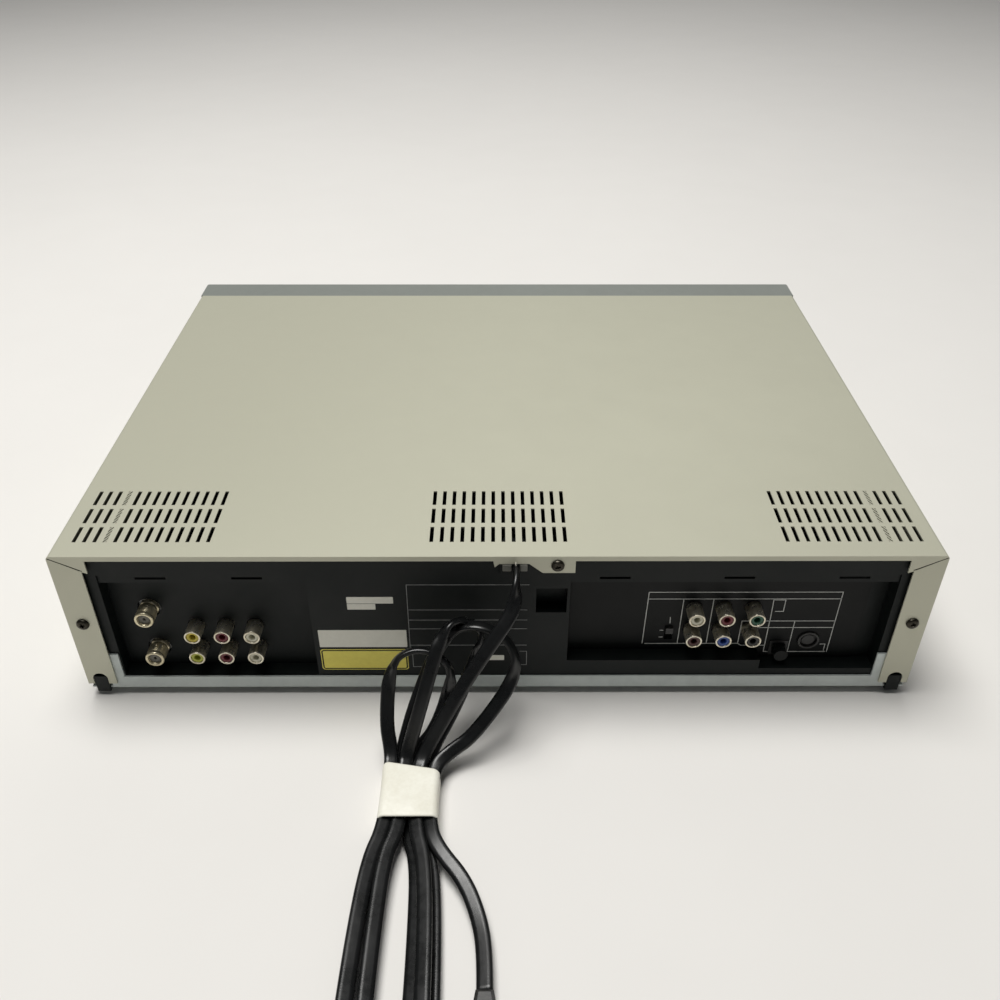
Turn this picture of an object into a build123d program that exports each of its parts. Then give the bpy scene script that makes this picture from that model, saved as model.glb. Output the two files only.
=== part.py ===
# A disc player and video cassette recorder in one low case, with its mains lead bundled behind it.
# +Z is up, +Y points out of the rear panel, and +X is the recorder's side. The origin lies on the
# floor under the middle of the case. All sizes are millimetres.
import os
from math import atan2, cos, degrees, hypot, pi, radians, sin, sqrt, tan

from build123d import *

os.makedirs("parts", exist_ok=True)

# ------------------------------------------------------------------ driving sizes: the case
case_w = 430.0
case_d = 322.0
case_h = 94.0
foot_h = 5.0
cover_t = 0.8
plate_t = 1.0
seam = 0.3
fascia_d = 21.6
fascia_t = 2.2
panel_t = 2.0
cover_r = 1.8

# cover
cover_skirt_gap = 3.7
lip_h = 2.8
flange_w = 15.0
tab_drop = 10.4
tab_w = 17.7
centre_tab_x0 = -37.0
centre_tab_x1 = -21.4
centre_tab_drop = 10.1
cord_notch_x0 = -14.8
cord_notch_x1 = -0.4
cord_notch_drop = 4.5
vent_columns = 14
vent_pitch_x = 5.0
vent_group_x = 173.0
vent_slot_w = 1.9
vent_slot_l = 12.0
vent_row_pitch = 15.25
vent_first_row = 17.4
screw_r = 3.2
screw_head_h = 1.8
screw_shank_r = 1.5
screw_l = 7.0
flange_screw_drop = 43.0
hook_x = 208.0
hook_w = 6.8
notch_clear = 0.4

# rear panel and its bays
panel_set_back = 2.2
bay_set_back = 10.5
bay_wall_t = 1.6
bay_top_drop = 18.5
vcr_bay_x0 = 94.0
vcr_bay_x1 = 195.0
vcr_bay_lift = 8.0
dvd_bay_x0 = -196.0
dvd_bay_x1 = -35.5
dvd_bay_step_x = -136.0
dvd_bay_lift = 18.0
dvd_bay_low_lift = 12.0
pocket_x0 = -34.0
pocket_x1 = -18.7
pocket_drop0 = 37.6
pocket_drop1 = 21.9
pocket_d = 8.0
strip_h = 7.5
ear_h = 23.5
ear_w = 6.5
shank_sides = 8
head_sides = 16
jack_sides = 16

# jacks
rca_r = 4.15
rca_wall = 0.9
rca_hole_r = 1.6
jack_front_gap = 0.5
vcr_rca_x = 140.1
vcr_rca_z = 26.3
dvd_rca_x = -114.8
dvd_rca_z = 37.5
rca_pitch_x = 15.1
rca_pitch_z = 14.4
rf_x = 177.2
rf_z = 25.5
rf_pitch_z = 27.0
rf_r = 4.7
rf_nut_r = 5.6
svideo_x = -161.9
svideo_z = 29.6
svideo_r = 5.6
optical_x = -147.0
optical_z = 24.2
optical_w = 9.6
optical_bore = 6.4
switch_x = -88.4
switch_z = 34.6
block_d = 12.0

# ------------------------------------------------------------------ driving sizes: the front
lower_face_depth = 1.5
lower_z0 = 12.0
lower_z1 = 41.0
button_z = 26.0
button_w = 16.0
button_h = 8.0
button_gap = 0.3
button_rim = 0.9
button_travel = 1.0
slot_gap = 0.5
door_x0 = 8.5
door_x1 = 203.5
door_z0 = 48.5
door_z1 = 82.0
door_t = 2.2
door_pin_r = 1.2
fit_gap = 0.05
bezel_w = 140.0
bezel_z0 = 56.0
bezel_z1 = 76.0
bezel_t = 3.5
window_x0 = -112.0
window_x1 = -2.0
window_h = 22.0
jack_row_x = -146.0
jack_row_pitch = 14.0

# ------------------------------------------------------------------ driving sizes: the recorder
deck_x = 106.0
deck_z = 12.0
deck_plate_t = 1.4
cassette_half_w = 94.0
cassette_z = 49.3
cassette_h = 25.0
side_t = 1.0
basket_y0 = -123.0
basket_l = 98.0
lift_travel = 22.0
carriage_travel = 60.0
reel_pitch = 92.5
reel_y = -17.0
reel_r = 17.0
drum_r = 31.0
drum_y = 72.0
drum_tilt = -5.97
capstan_x = 160.0
capstan_y = 50.0
capstan_r = 1.5
flywheel_r = 24.0
pinch_pivot_x = 186.0
pinch_pivot_y = 60.0
pinch_roller_r = 7.0
pinch_swing = 20.0

# ------------------------------------------------------------------ driving sizes: the disc drive
drive_x = -126.0
loader_w = 146.0
loader_y0 = -138.0
loader_l = 196.0
loader_z = 42.0
loader_t = 2.0
loader_wall = 3.5
loader_top = 78.0
tray_w = 132.0
tray_l = 187.0
tray_z = 61.0
tray_t = 5.5
tray_travel = 135.0
disc_r = 61.0
disc_depth = 3.0
disc_offset = 69.0
rail_w = 5.0
rail_gap = 0.3
traverse_lift = 8.7
turntable_r = 15.0
spindle_r = 1.55
rod_r = 1.5
rod_offset = 24.0
rod_l = 70.0
pickup_travel = 33.0
gear_teeth = 12
tray_module = 1.5
feed_module = 1.0
puck_r = 13.5
puck_gap = 0.5
bridge_y_half = 20.0

# ------------------------------------------------------------------ driving sizes: the mains lead
cord_d = 4.8
cord_sides = 6
strand_pitch = 6.6
layer_pitch = 5.5
tie_wall = 1.0
tie_l = 30.0
tie_x = 41.5
tie_y = 216.0

# ------------------------------------------------------------------ places worked out from them
front_y = -case_d / 2
rear_y = case_d / 2
cover_front_y = front_y + fascia_d
cover_bottom = foot_h + cover_skirt_gap
inner_half_w = case_w / 2 - cover_t
deck_floor = foot_h + plate_t
panel_y = rear_y - panel_set_back
jack_plate_y = rear_y - bay_set_back
jack_front_y = rear_y - jack_front_gap
bay_top = case_h - bay_top_drop
lip_z = case_h - lip_h


def slab(x0, x1, y0, y1, z0, z1, mode=Mode.ADD):
    """A block given by its faces, added to or cut from the part being built."""
    with Locations(((x0 + x1) / 2, (y0 + y1) / 2, (z0 + z1) / 2)):
        Box(x1 - x0, y1 - y0, z1 - z0, mode=mode)


def upright(y):
    """The plane of a sketch with X across and Z up, whose extrusion runs towards the front."""
    return Plane(origin=(0, y, 0), x_dir=(1, 0, 0), z_dir=(0, -1, 0))


def faceted(plane, u, v, length, radius, sides, mode):
    """A many-sided post, within the radius, or a bore that leaves the radius free."""
    with BuildSketch(plane) as outline:
        with Locations((u, v)):
            RegularPolygon(radius, sides, major_radius=mode == Mode.ADD)
    extrude(outline.sketch, amount=length, mode=mode)


def post(x, y, z0, z1, radius, mode=Mode.ADD, sides=0):
    """An upright post or bore between two heights, round or with that many sides."""
    if sides:
        faceted(Plane.XY.offset(z0), x, y, z1 - z0, radius, sides, mode)
    else:
        with Locations((x, y, (z0 + z1) / 2)):
            Cylinder(radius, z1 - z0, mode=mode)


def barrel(x, z, y0, y1, radius, mode=Mode.ADD, sides=0):
    """A post or bore that lies along Y, round or with that many sides."""
    if sides:
        faceted(upright(y1), x, z, y1 - y0, radius, sides, mode)
    else:
        with Locations(Location((x, (y0 + y1) / 2, z), (90, 0, 0))):
            Cylinder(radius, y1 - y0, mode=mode)


def rod_x(x0, x1, y, z, radius, mode=Mode.ADD, sides=0):
    """A rod or bore that lies along X, round or with that many sides."""
    if sides:
        plane = Plane(origin=(x0, 0, 0), x_dir=(0, 1, 0), z_dir=(1, 0, 0))
        faceted(plane, y, z, x1 - x0, radius, sides, mode)
    else:
        with Locations(Location(((x0 + x1) / 2, y, z), (0, 90, 0))):
            Cylinder(radius, x1 - x0, mode=mode)


def save(piece, name):
    """Label a finished sub-part and write its file."""
    piece.part.label = name
    export_step(piece.part, f"parts/{name}.step")


# ------------------------------------------------------------------ top cover
flange_in_x = case_w / 2 - flange_w
tab_in_x = case_w / 2 - tab_w
tab_z = case_h - tab_drop
mitre_z = tab_z + 1.1
centre_tab_z = case_h - centre_tab_drop
notch_z = case_h - cord_notch_drop
notch_tip_z = notch_z - 2.1
flange_screw_z = case_h - flange_screw_drop
centre_screw_x = (centre_tab_x0 + centre_tab_x1) / 2 + 0.7
centre_screw_z = case_h - 5.4
side_screw_y = 100.0
side_screw_z = 15.5

with BuildPart() as top_cover:
    for shrink, mode in ((0, Mode.ADD), (cover_t, Mode.SUBTRACT)):
        with BuildSketch(upright(rear_y)) as section:
            with Locations((0, (cover_bottom + case_h - shrink) / 2)):
                Rectangle(case_w - 2 * shrink, case_h - shrink - cover_bottom)
            fillet(section.vertices().group_by(Axis.Y)[-1], cover_r - shrink)
        extrude(amount=rear_y - cover_front_y, mode=mode)
    with BuildSketch(upright(rear_y)) as flange:
        with BuildLine():
            Polyline(
                (-case_w / 2, cover_bottom), (-case_w / 2, case_h), (case_w / 2, case_h),
                (case_w / 2, cover_bottom), (flange_in_x, cover_bottom), (flange_in_x, mitre_z),
                (tab_in_x, tab_z), (tab_in_x, lip_z), (cord_notch_x1 + 2.8, lip_z),
                (cord_notch_x1 + 2.1, notch_tip_z), (cord_notch_x1, notch_z),
                (cord_notch_x0, notch_z), (centre_tab_x1, centre_tab_z),
                (centre_tab_x0, centre_tab_z), (centre_tab_x0, lip_z), (-tab_in_x, lip_z),
                (-tab_in_x, tab_z), (-flange_in_x, mitre_z), (-flange_in_x, cover_bottom),
                close=True,
            )
        make_face()
        fillet(flange.vertices().group_by(Axis.Y)[-1], cover_r)
    extrude(amount=cover_t)
    # the mitre slits between the folded top tabs and the side flanges
    mitre_run = flange_w - 2.2
    mitre_drop = case_h - mitre_z - 2.2
    for side in (-1, 1):
        with BuildSketch(upright(rear_y)):
            with Locations((side * (case_w / 2 - 1.6 - mitre_run / 2), case_h - 1.6 - mitre_drop / 2)):
                Rectangle(hypot(mitre_run, mitre_drop), 0.3,
                          rotation=side * degrees(atan2(mitre_drop, mitre_run)))
        extrude(amount=cover_t, mode=Mode.SUBTRACT)
    # arched notches at the foot of the side flanges, for the panel's hooks
    notch_w = hook_w + 2 * notch_clear
    with BuildSketch(upright(rear_y)):
        with Locations((-hook_x, cover_bottom), (hook_x, cover_bottom)):
            Rectangle(notch_w, 7.3)
        with Locations((-hook_x, cover_bottom + 3.65), (hook_x, cover_bottom + 3.65)):
            Circle(notch_w / 2)
    extrude(amount=cover_t, mode=Mode.SUBTRACT)
    with BuildSketch(upright(rear_y)):
        with Locations((-hook_x + 0.5, flange_screw_z), (hook_x - 0.5, flange_screw_z),
                       (centre_screw_x, centre_screw_z)):
            RegularPolygon(screw_shank_r + fit_gap, shank_sides, major_radius=False)
    extrude(amount=cover_t, mode=Mode.SUBTRACT)
    for side in (-1, 1):
        for y in (-side_screw_y, side_screw_y):
            rod_x(side * case_w / 2 - 2, side * case_w / 2 + 2, y, side_screw_z,
                  screw_shank_r + fit_gap, Mode.SUBTRACT, shank_sides)
    vent_y = rear_y - vent_first_row - vent_row_pitch
    with BuildSketch(Plane.XY.offset(case_h)):
        with Locations((-vent_group_x, vent_y), (0, vent_y), (vent_group_x, vent_y)):
            with GridLocations(vent_pitch_x, vent_row_pitch, vent_columns, 3):
                Rectangle(vent_slot_w, vent_slot_l)
    extrude(amount=-2 * cover_t, mode=Mode.SUBTRACT)
save(top_cover, "top_cover")

# ------------------------------------------------------------------ cover screws
rear_screws = [(-hook_x + 0.5, flange_screw_z), (hook_x - 0.5, flange_screw_z),
               (centre_screw_x, centre_screw_z)]
with BuildPart() as cover_screws:
    for x, z in rear_screws:
        barrel(x, z, rear_y - screw_l, rear_y, screw_shank_r, sides=shank_sides)
        barrel(x, z, rear_y, rear_y + screw_head_h, screw_r, sides=head_sides)
        slab(x - 2, x + 2, rear_y + screw_head_h - 0.8, rear_y + 3, z - 0.4, z + 0.4, Mode.SUBTRACT)
        slab(x - 0.4, x + 0.4, rear_y + screw_head_h - 0.8, rear_y + 3, z - 2, z + 2, Mode.SUBTRACT)
    for side in (-1, 1):
        face_x = side * case_w / 2
        shank = sorted((face_x - side * screw_l, face_x))
        head = sorted((face_x, face_x + side * screw_head_h))
        for y in (-side_screw_y, side_screw_y):
            rod_x(shank[0], shank[1], y, side_screw_z, screw_shank_r, sides=shank_sides)
            rod_x(head[0], head[1], y, side_screw_z, screw_r, sides=head_sides)
            slot = sorted((face_x + side * (screw_head_h - 0.8), face_x + side * 3))
            slab(slot[0], slot[1], y - 2, y + 2, side_screw_z - 0.4, side_screw_z + 0.4,
                 Mode.SUBTRACT)
            slab(slot[0], slot[1], y - 0.4, y + 0.4, side_screw_z - 2, side_screw_z + 2,
                 Mode.SUBTRACT)
save(cover_screws, "cover_screws")

# ------------------------------------------------------------------ bottom plate
plate_half_w = inner_half_w - seam
rear_flange_y = rear_y - cover_t - 0.2
strip_half_w = hook_x - hook_w / 2 - 1.4
board_z = deck_z
board_t = 1.6
side_flange_top = 22.0
board_posts = [(-176, 70), (-176, 138), (-76, 70), (-76, 138), (16, 120), (16, 142), (150, 120),
               (200, 142), (-42, 20), (-6, 20), (-42, 138), (-6, 138)]
with BuildPart() as bottom_plate:
    slab(-plate_half_w, plate_half_w, cover_front_y, rear_flange_y, foot_h, deck_floor)
    for side in (-1, 1):
        wall = sorted((side * plate_half_w, side * (plate_half_w - plate_t)))
        slab(wall[0], wall[1], cover_front_y, rear_flange_y - 4, foot_h, side_flange_top)
        ear = sorted((side * strip_half_w, side * (strip_half_w - ear_w - 1)))
        slab(ear[0], ear[1], rear_flange_y - plate_t, rear_flange_y, foot_h, foot_h + ear_h)
    slab(-strip_half_w, strip_half_w, rear_flange_y - plate_t, rear_flange_y, foot_h,
         foot_h + strip_h)
    for x, y in board_posts:
        slab(x - 2.5, x + 2.5, y - 2.5, y + 2.5, deck_floor, board_z)
    for side in (-1, 1):
        for y in (-side_screw_y, side_screw_y):
            rod_x(side * plate_half_w - 2, side * plate_half_w + 2, y, side_screw_z,
                  screw_shank_r + fit_gap, Mode.SUBTRACT, shank_sides)
        slab(side * hook_x - hook_w / 2 - notch_clear, side * hook_x + hook_w / 2 + notch_clear,
             rear_y - 2.3, rear_y, foot_h, deck_floor, Mode.SUBTRACT)
    with BuildSketch(Plane.XY.offset(deck_floor)):
        with Locations((-120, -40), (100, -40)):
            with GridLocations(12, 1, 9, 1):
                Rectangle(4, 60)
    extrude(amount=-plate_t, mode=Mode.SUBTRACT)
save(bottom_plate, "bottom_plate")

# ------------------------------------------------------------------ feet
foot_x = 165.0
foot_front_y = -120.0
foot_rear_y = 128.0
foot_r = 16.0
pad_h = 1.2
foot_sides = 24
foot_spots = [(x, y) for x in (-foot_x, foot_x) for y in (foot_front_y, foot_rear_y)]
with BuildPart() as feet:
    with BuildSketch(Plane.XY.offset(foot_h)):
        with Locations(*foot_spots):
            RegularPolygon(foot_r, foot_sides)
    extrude(amount=pad_h - foot_h, taper=8)
save(feet, "feet")

with BuildPart() as foot_pads:
    with BuildSketch(Plane.XY):
        with Locations(*foot_spots):
            RegularPolygon(foot_r - 4, foot_sides)
    extrude(amount=pad_h)
save(foot_pads, "foot_pads")

# ------------------------------------------------------------------ rear panel
panel_half_w = plate_half_w - 1.5
panel_bottom = foot_h + 3.0
panel_top = case_h - 4.4
bay_back_y = jack_plate_y - 1.0
block_y = bay_back_y - panel_t
vcr_bay_z0 = foot_h + vcr_bay_lift
dvd_bay_z0 = foot_h + dvd_bay_lift
dvd_low_z0 = foot_h + dvd_bay_low_lift
ledge_h = 5.2
catch_x = [169.3, 122.4, -57.0, -117.7, -173.8]
vcr_rca = [(vcr_rca_x + i * rca_pitch_x, vcr_rca_z + j * rca_pitch_z)
           for i in (-1, 0, 1) for j in (0, 1)]
dvd_rca = [(dvd_rca_x + i * rca_pitch_x, dvd_rca_z + j * rca_pitch_z)
           for i in (-1, 0, 1) for j in (0, 1)]
rf_spots = [(rf_x, rf_z), (rf_x, rf_z + rf_pitch_z)]
cord_x = (cord_notch_x0 + cord_notch_x1) / 2
relief_w = cord_notch_x1 - cord_notch_x0 - 1.0
relief_h = 8.0
relief_z1 = notch_z - 0.2
relief_z0 = relief_z1 - relief_h

with BuildPart() as rear_panel:
    slab(-panel_half_w, panel_half_w, panel_y - panel_t, panel_y, panel_bottom, panel_top)
    # the boxes of the two bays and of the pocket, behind the panel
    slab(vcr_bay_x0 - bay_wall_t, vcr_bay_x1 + bay_wall_t, block_y, panel_y - panel_t,
         vcr_bay_z0 - bay_wall_t, bay_top + bay_wall_t)
    slab(dvd_bay_x0 - bay_wall_t, dvd_bay_x1 + bay_wall_t, block_y, panel_y - panel_t,
         dvd_low_z0 - bay_wall_t, bay_top + bay_wall_t)
    slab(pocket_x0 - bay_wall_t, pocket_x1 + bay_wall_t, panel_y - pocket_d - bay_wall_t,
         panel_y - panel_t, case_h - pocket_drop0 - bay_wall_t, case_h - pocket_drop1 + bay_wall_t)
    slab(vcr_bay_x0, vcr_bay_x1, jack_plate_y, panel_y, vcr_bay_z0, bay_top, Mode.SUBTRACT)
    slab(dvd_bay_x0, dvd_bay_x1, bay_back_y, panel_y, dvd_bay_z0, bay_top, Mode.SUBTRACT)
    slab(dvd_bay_x0, dvd_bay_step_x, bay_back_y, panel_y, dvd_low_z0, bay_top, Mode.SUBTRACT)
    slab(pocket_x0, pocket_x1, panel_y - pocket_d, panel_y, case_h - pocket_drop0,
         case_h - pocket_drop1, Mode.SUBTRACT)
    # the shallow ledge above each bay, with the slits of its catches
    slab(vcr_bay_x0, vcr_bay_x1, panel_y - 0.8, panel_y, bay_top, bay_top + ledge_h, Mode.SUBTRACT)
    slab(dvd_bay_x0, dvd_bay_x1, panel_y - 0.8, panel_y, bay_top, bay_top + ledge_h, Mode.SUBTRACT)
    for x in catch_x:
        slab(x - 7.5, x + 7.5, panel_y - panel_t, panel_y, bay_top + 2.0, bay_top + 3.4,
             Mode.SUBTRACT)
    # windows for the jacks
    slab(dvd_bay_x0 + 12, dvd_bay_x1 - 4, block_y, bay_back_y, dvd_bay_z0 + 3,
         bay_top - 3, Mode.SUBTRACT)
    slab(dvd_bay_x0 + 12, dvd_bay_step_x, block_y, bay_back_y, dvd_low_z0 + 2,
         bay_top - 3, Mode.SUBTRACT)
    with BuildSketch(upright(jack_plate_y)):
        with Locations(*vcr_rca):
            RegularPolygon(rca_r + 0.3, jack_sides, major_radius=False)
        with Locations(*rf_spots):
            RegularPolygon(rf_nut_r + 0.3, jack_sides, major_radius=False)
    extrude(amount=jack_plate_y - block_y, mode=Mode.SUBTRACT)
    for x, z in rear_screws:
        barrel(x, z, panel_y - panel_t, panel_y, screw_shank_r + fit_gap, Mode.SUBTRACT,
               shank_sides)
    # the notch that the mains lead leaves through
    slab(cord_x - relief_w / 2 - fit_gap, cord_x + relief_w / 2 + fit_gap, panel_y - panel_t, panel_y,
         relief_z0, panel_top, Mode.SUBTRACT)
    # the two hooks that show in the arches of the cover's flanges
    for side in (-1, 1):
        slab(side * hook_x - hook_w / 2, side * hook_x + hook_w / 2, panel_y - panel_t,
             rear_y - 0.1, 3.0, cover_bottom + 5.0)
        slab(side * hook_x - hook_w / 2, side * hook_x + hook_w / 2, panel_y - panel_t,
             rear_y - 2.0, 4.5, 7.2, Mode.SUBTRACT)
save(rear_panel, "rear_panel")

with BuildPart() as dvd_jack_plate:
    with BuildSketch(upright(jack_plate_y)):
        with BuildLine():
            Polyline(
                (dvd_bay_x1 - 1, bay_top - seam), (dvd_bay_x0 + 9, bay_top - seam),
                (dvd_bay_x0 + 9, dvd_low_z0 + seam), (dvd_bay_step_x - seam, dvd_low_z0 + seam),
                (dvd_bay_step_x - seam, dvd_bay_z0 + seam), (dvd_bay_x1 - 1, dvd_bay_z0 + seam),
                close=True,
            )
        make_face()
        with Locations(*dvd_rca):
            RegularPolygon(rca_r + 0.3, jack_sides, major_radius=False, mode=Mode.SUBTRACT)
        with Locations((svideo_x, svideo_z)):
            RegularPolygon(svideo_r + 0.2, head_sides, major_radius=False, mode=Mode.SUBTRACT)
        with Locations((optical_x, optical_z)):
            Rectangle(optical_w + 0.4, optical_w + 0.4, mode=Mode.SUBTRACT)
        with Locations((switch_x, switch_z)):
            Rectangle(4.4, 9.4, mode=Mode.SUBTRACT)
    extrude(amount=jack_plate_y - bay_back_y)
save(dvd_jack_plate, "dvd_jack_plate")

# ------------------------------------------------------------------ jacks of the rear bays
board_top = board_z + board_t
with BuildPart() as rca_shells:
    with BuildSketch(upright(jack_front_y)):
        with Locations(*vcr_rca, *dvd_rca):
            RegularPolygon(rca_r, jack_sides)
            RegularPolygon(rca_r - rca_wall, jack_sides, mode=Mode.SUBTRACT)
    extrude(amount=jack_front_y - block_y)
save(rca_shells, "rca_shells")

with BuildPart() as rca_inserts:
    with BuildSketch(upright(jack_front_y - 0.6)):
        with Locations(*vcr_rca, *dvd_rca):
            RegularPolygon(rca_r - rca_wall, jack_sides)
            RegularPolygon(rca_hole_r, shank_sides, mode=Mode.SUBTRACT)
    extrude(amount=jack_front_y - 0.6 - block_y)
save(rca_inserts, "rca_inserts")

with BuildPart() as rf_connectors:
    for x, z in rf_spots:
        barrel(x, z, block_y, jack_plate_y + 1.2, rf_nut_r, sides=6)
        barrel(x, z, jack_plate_y + 1.2, jack_front_y - 1.6, rf_r, sides=jack_sides)
        barrel(x, z, jack_front_y - 1.6, jack_front_y, rf_r - 0.6, sides=jack_sides)
        barrel(x, z, jack_front_y - 1.2, jack_front_y, rf_r - 1.5, Mode.SUBTRACT, jack_sides)
        barrel(x, z, jack_front_y - 5, jack_front_y - 1.2, 0.7, Mode.SUBTRACT, shank_sides)
save(rf_connectors, "rf_connectors")

with BuildPart() as tuner:
    slab(rf_x - 12, rf_x + 12, block_y - 34, block_y, board_top, rf_z + rf_pitch_z + 9)
save(tuner, "tuner")

cap_z0 = optical_z - optical_bore / 2
switch_travel = 3.0
with BuildPart() as jack_blocks:
    for x, z in ((vcr_rca_x, vcr_rca_z), (dvd_rca_x, dvd_rca_z)):
        slab(x - rca_pitch_x - 7, x + rca_pitch_x + 7, block_y - block_d, block_y, board_top,
             z + rca_pitch_z + 8)
    # round video socket
    slab(svideo_x - 6.5, svideo_x + 6.5, block_y - 14, block_y, board_top, svideo_z + 6.5)
    barrel(svideo_x, svideo_z, block_y, jack_plate_y + 1.0, svideo_r, sides=head_sides)
    barrel(svideo_x, svideo_z, bay_back_y, jack_plate_y + 1.0, svideo_r - 1.1, Mode.SUBTRACT,
           head_sides)
    barrel(svideo_x, svideo_z, bay_back_y, jack_plate_y + 0.2, svideo_r - 2.3, sides=head_sides)
    # optical outlet
    slab(optical_x - 6, optical_x + 6, block_y - 14, block_y, board_top,
         optical_z + optical_w / 2 + 1)
    slab(optical_x - optical_w / 2, optical_x + optical_w / 2, block_y,
         jack_plate_y + 0.4, optical_z - optical_w / 2, optical_z + optical_w / 2)
    slab(optical_x - optical_bore / 2, optical_x + optical_bore / 2, jack_plate_y - 7,
         jack_plate_y + 0.4, cap_z0, cap_z0 + optical_bore, Mode.SUBTRACT)
    # body of the video switch
    slab(switch_x - 4, switch_x + 4, block_y - 9, block_y, board_top, switch_z + 8)
    slab(switch_x - 4, switch_x + 4, block_y, bay_back_y - seam, switch_z - 7, switch_z + 8)
    slab(switch_x - 2.1, switch_x + 2.1, bay_back_y - 4, bay_back_y, switch_z - 4.6, switch_z + 4.6,
         Mode.SUBTRACT)
save(jack_blocks, "jack_blocks")

with BuildPart() as optical_cap:
    slab(optical_x - optical_bore / 2 + 0.1, optical_x + optical_bore / 2 - 0.1, jack_plate_y - 6.7,
         jack_plate_y + 2.0, cap_z0 + 0.1, cap_z0 + optical_bore - 0.1)
    barrel(optical_x, optical_z, jack_plate_y + 2.0, jack_plate_y + 6.5, 3.6, sides=head_sides)
save(optical_cap, "optical_cap")

with BuildPart() as video_switch:
    slab(switch_x - 1.9, switch_x + 1.9, bay_back_y - 3.8, jack_plate_y + 1.6, switch_z + 0.6,
         switch_z + 4.3)
save(video_switch, "video_switch")

# ------------------------------------------------------------------ boards and supply
with BuildPart() as main_board:
    slab(6, 208, 112, block_y - 0.5, board_z, board_top)
    for x, y in ((40, 130), (62, 124), (84, 132)):
        slab(x - 8, x + 8, y - 6, y + 6, board_top, board_top + 3)
save(main_board, "main_board")

with BuildPart() as dvd_board:
    slab(-186, -66, 60, block_y - 0.5, board_z, board_top)
    for x, y, size in ((-150, 92, 14), (-112, 88, 10), (-86, 100, 8)):
        slab(x - size, x + size, y - size, y + size, board_top, board_top + 2.5)
save(dvd_board, "dvd_board")

transformer_z = 44.0
with BuildPart() as power_board:
    slab(-48, 0, 10, block_y - 2, board_z, board_top)
    slab(-46, -43, 30, 58, board_top, 50)
    for x, y, radius, top in ((-12, 100, 9, 46), (-34, 112, 6, 36), (-12, 40, 5, 34)):
        post(x, y, board_top, top, radius, sides=jack_sides)
    slab(-38, -10, 58, 88, board_top, transformer_z)
    slab(-42, -6, 64, 82, board_top + 3, transformer_z - 3)
save(power_board, "power_board")

# ------------------------------------------------------------------ front fascia
lower_face_y = front_y + lower_face_depth
board_front_y = -146.0
switch_tip_y = board_front_y - 4.7
button_rear_y = switch_tip_y - button_travel - 0.3
rim_y0 = front_y + fascia_t + lower_face_depth + 0.3
push_buttons = [("power_button", -190.0, button_z, 22.0, button_h)]
row_names = ["open_close_button", "disc_play_button", "disc_stop_button", "eject_button",
             "rewind_button", "tape_stop_button", "tape_play_button", "forward_button",
             "record_button"]
row_x = [14.0, 33.0, 52.0, 76.0, 95.0, 114.0, 133.0, 152.0, 171.0]
for row_name, x in zip(row_names, row_x):
    push_buttons.append((row_name, x, button_z, button_w, button_h))
push_buttons.append(("channel_up_button", 193.0, button_z + 6, 12.0, 8.0))
push_buttons.append(("channel_down_button", 193.0, button_z - 6, 12.0, 8.0))
window_z0 = button_z - window_h / 2
window_z1 = button_z + window_h / 2
tray_hole = (drive_x - bezel_w / 2 - slot_gap, drive_x + bezel_w / 2 + slot_gap,
             bezel_z0 - slot_gap, bezel_z1 + slot_gap)
door_hole = (door_x0 - slot_gap, door_x1 + slot_gap, door_z0 - 0.9, door_z1 + slot_gap)
pin_y = front_y + 3.8
pin_z = door_z1 - 0.9
front_jacks = [(jack_row_x + i * jack_row_pitch, button_z) for i in (-1, 0, 1)]

with BuildPart() as front_fascia:
    slab(-case_w / 2, case_w / 2, front_y, cover_front_y, foot_h, case_h)
    chamfer(front_fascia.faces().sort_by(Axis.Y)[0].edges().filter_by(Axis.X), 1.2)
    chamfer(front_fascia.edges().filter_by(Axis.Z).sort_by(Axis.Y)[:2], 2.0)
    slab(-case_w / 2 + fascia_t, case_w / 2 - fascia_t, front_y + fascia_t, cover_front_y,
         foot_h + fascia_t, case_h - fascia_t, Mode.SUBTRACT)
    slab(-case_w / 2 + fascia_t, case_w / 2 - fascia_t, front_y + fascia_t,
         front_y + fascia_t + lower_face_depth, lower_z0 - 3, lower_z1 + 3)
    slab(-case_w / 2 + 12, case_w / 2 - 12, front_y, lower_face_y, lower_z0, lower_z1,
         Mode.SUBTRACT)
    for x0, x1, z0, z1 in (tray_hole, door_hole, (window_x0 - 0.2, window_x1 + 0.2,
                                                  window_z0 - 0.2, window_z1 + 0.2)):
        slab(x0, x1, front_y, rim_y0, z0, z1, Mode.SUBTRACT)
    for _, x, z, w, h in push_buttons:
        slab(x - w / 2 - button_gap, x + w / 2 + button_gap, front_y, rim_y0,
             z - h / 2 - button_gap, z + h / 2 + button_gap, Mode.SUBTRACT)
    for x, z in front_jacks:
        barrel(x, z, front_y, rim_y0, rca_r + 0.3, Mode.SUBTRACT, jack_sides)
    # ears that hold the pins of the cassette door
    for x0, x1 in ((door_x0 - 4.0, door_x0 - 1.0), (door_x1 + 1.0, door_x1 + 4.0)):
        slab(x0, x1, front_y + fascia_t, pin_y + 3.5, pin_z - 4.5, pin_z + 4.5)
        rod_x(x0, x1, pin_y, pin_z, door_pin_r + fit_gap, Mode.SUBTRACT)
save(front_fascia, "front_fascia")

with BuildPart() as display_window:
    slab(window_x0, window_x1, lower_face_y - 1.0, rim_y0, window_z0, window_z1)
save(display_window, "display_window")

with BuildPart() as front_board:
    slab(-204, 204, board_front_y, board_front_y + board_t, foot_h + fascia_t + 1.5, 44)
    slab(window_x0 + 6, window_x1 - 6, rim_y0 + seam, board_front_y, window_z0 + 2, window_z1 - 2)
    for _, x, z, _, _ in push_buttons:
        slab(x - 3, x + 3, switch_tip_y, board_front_y, z - 3, z + 3)
save(front_board, "front_board")

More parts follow.
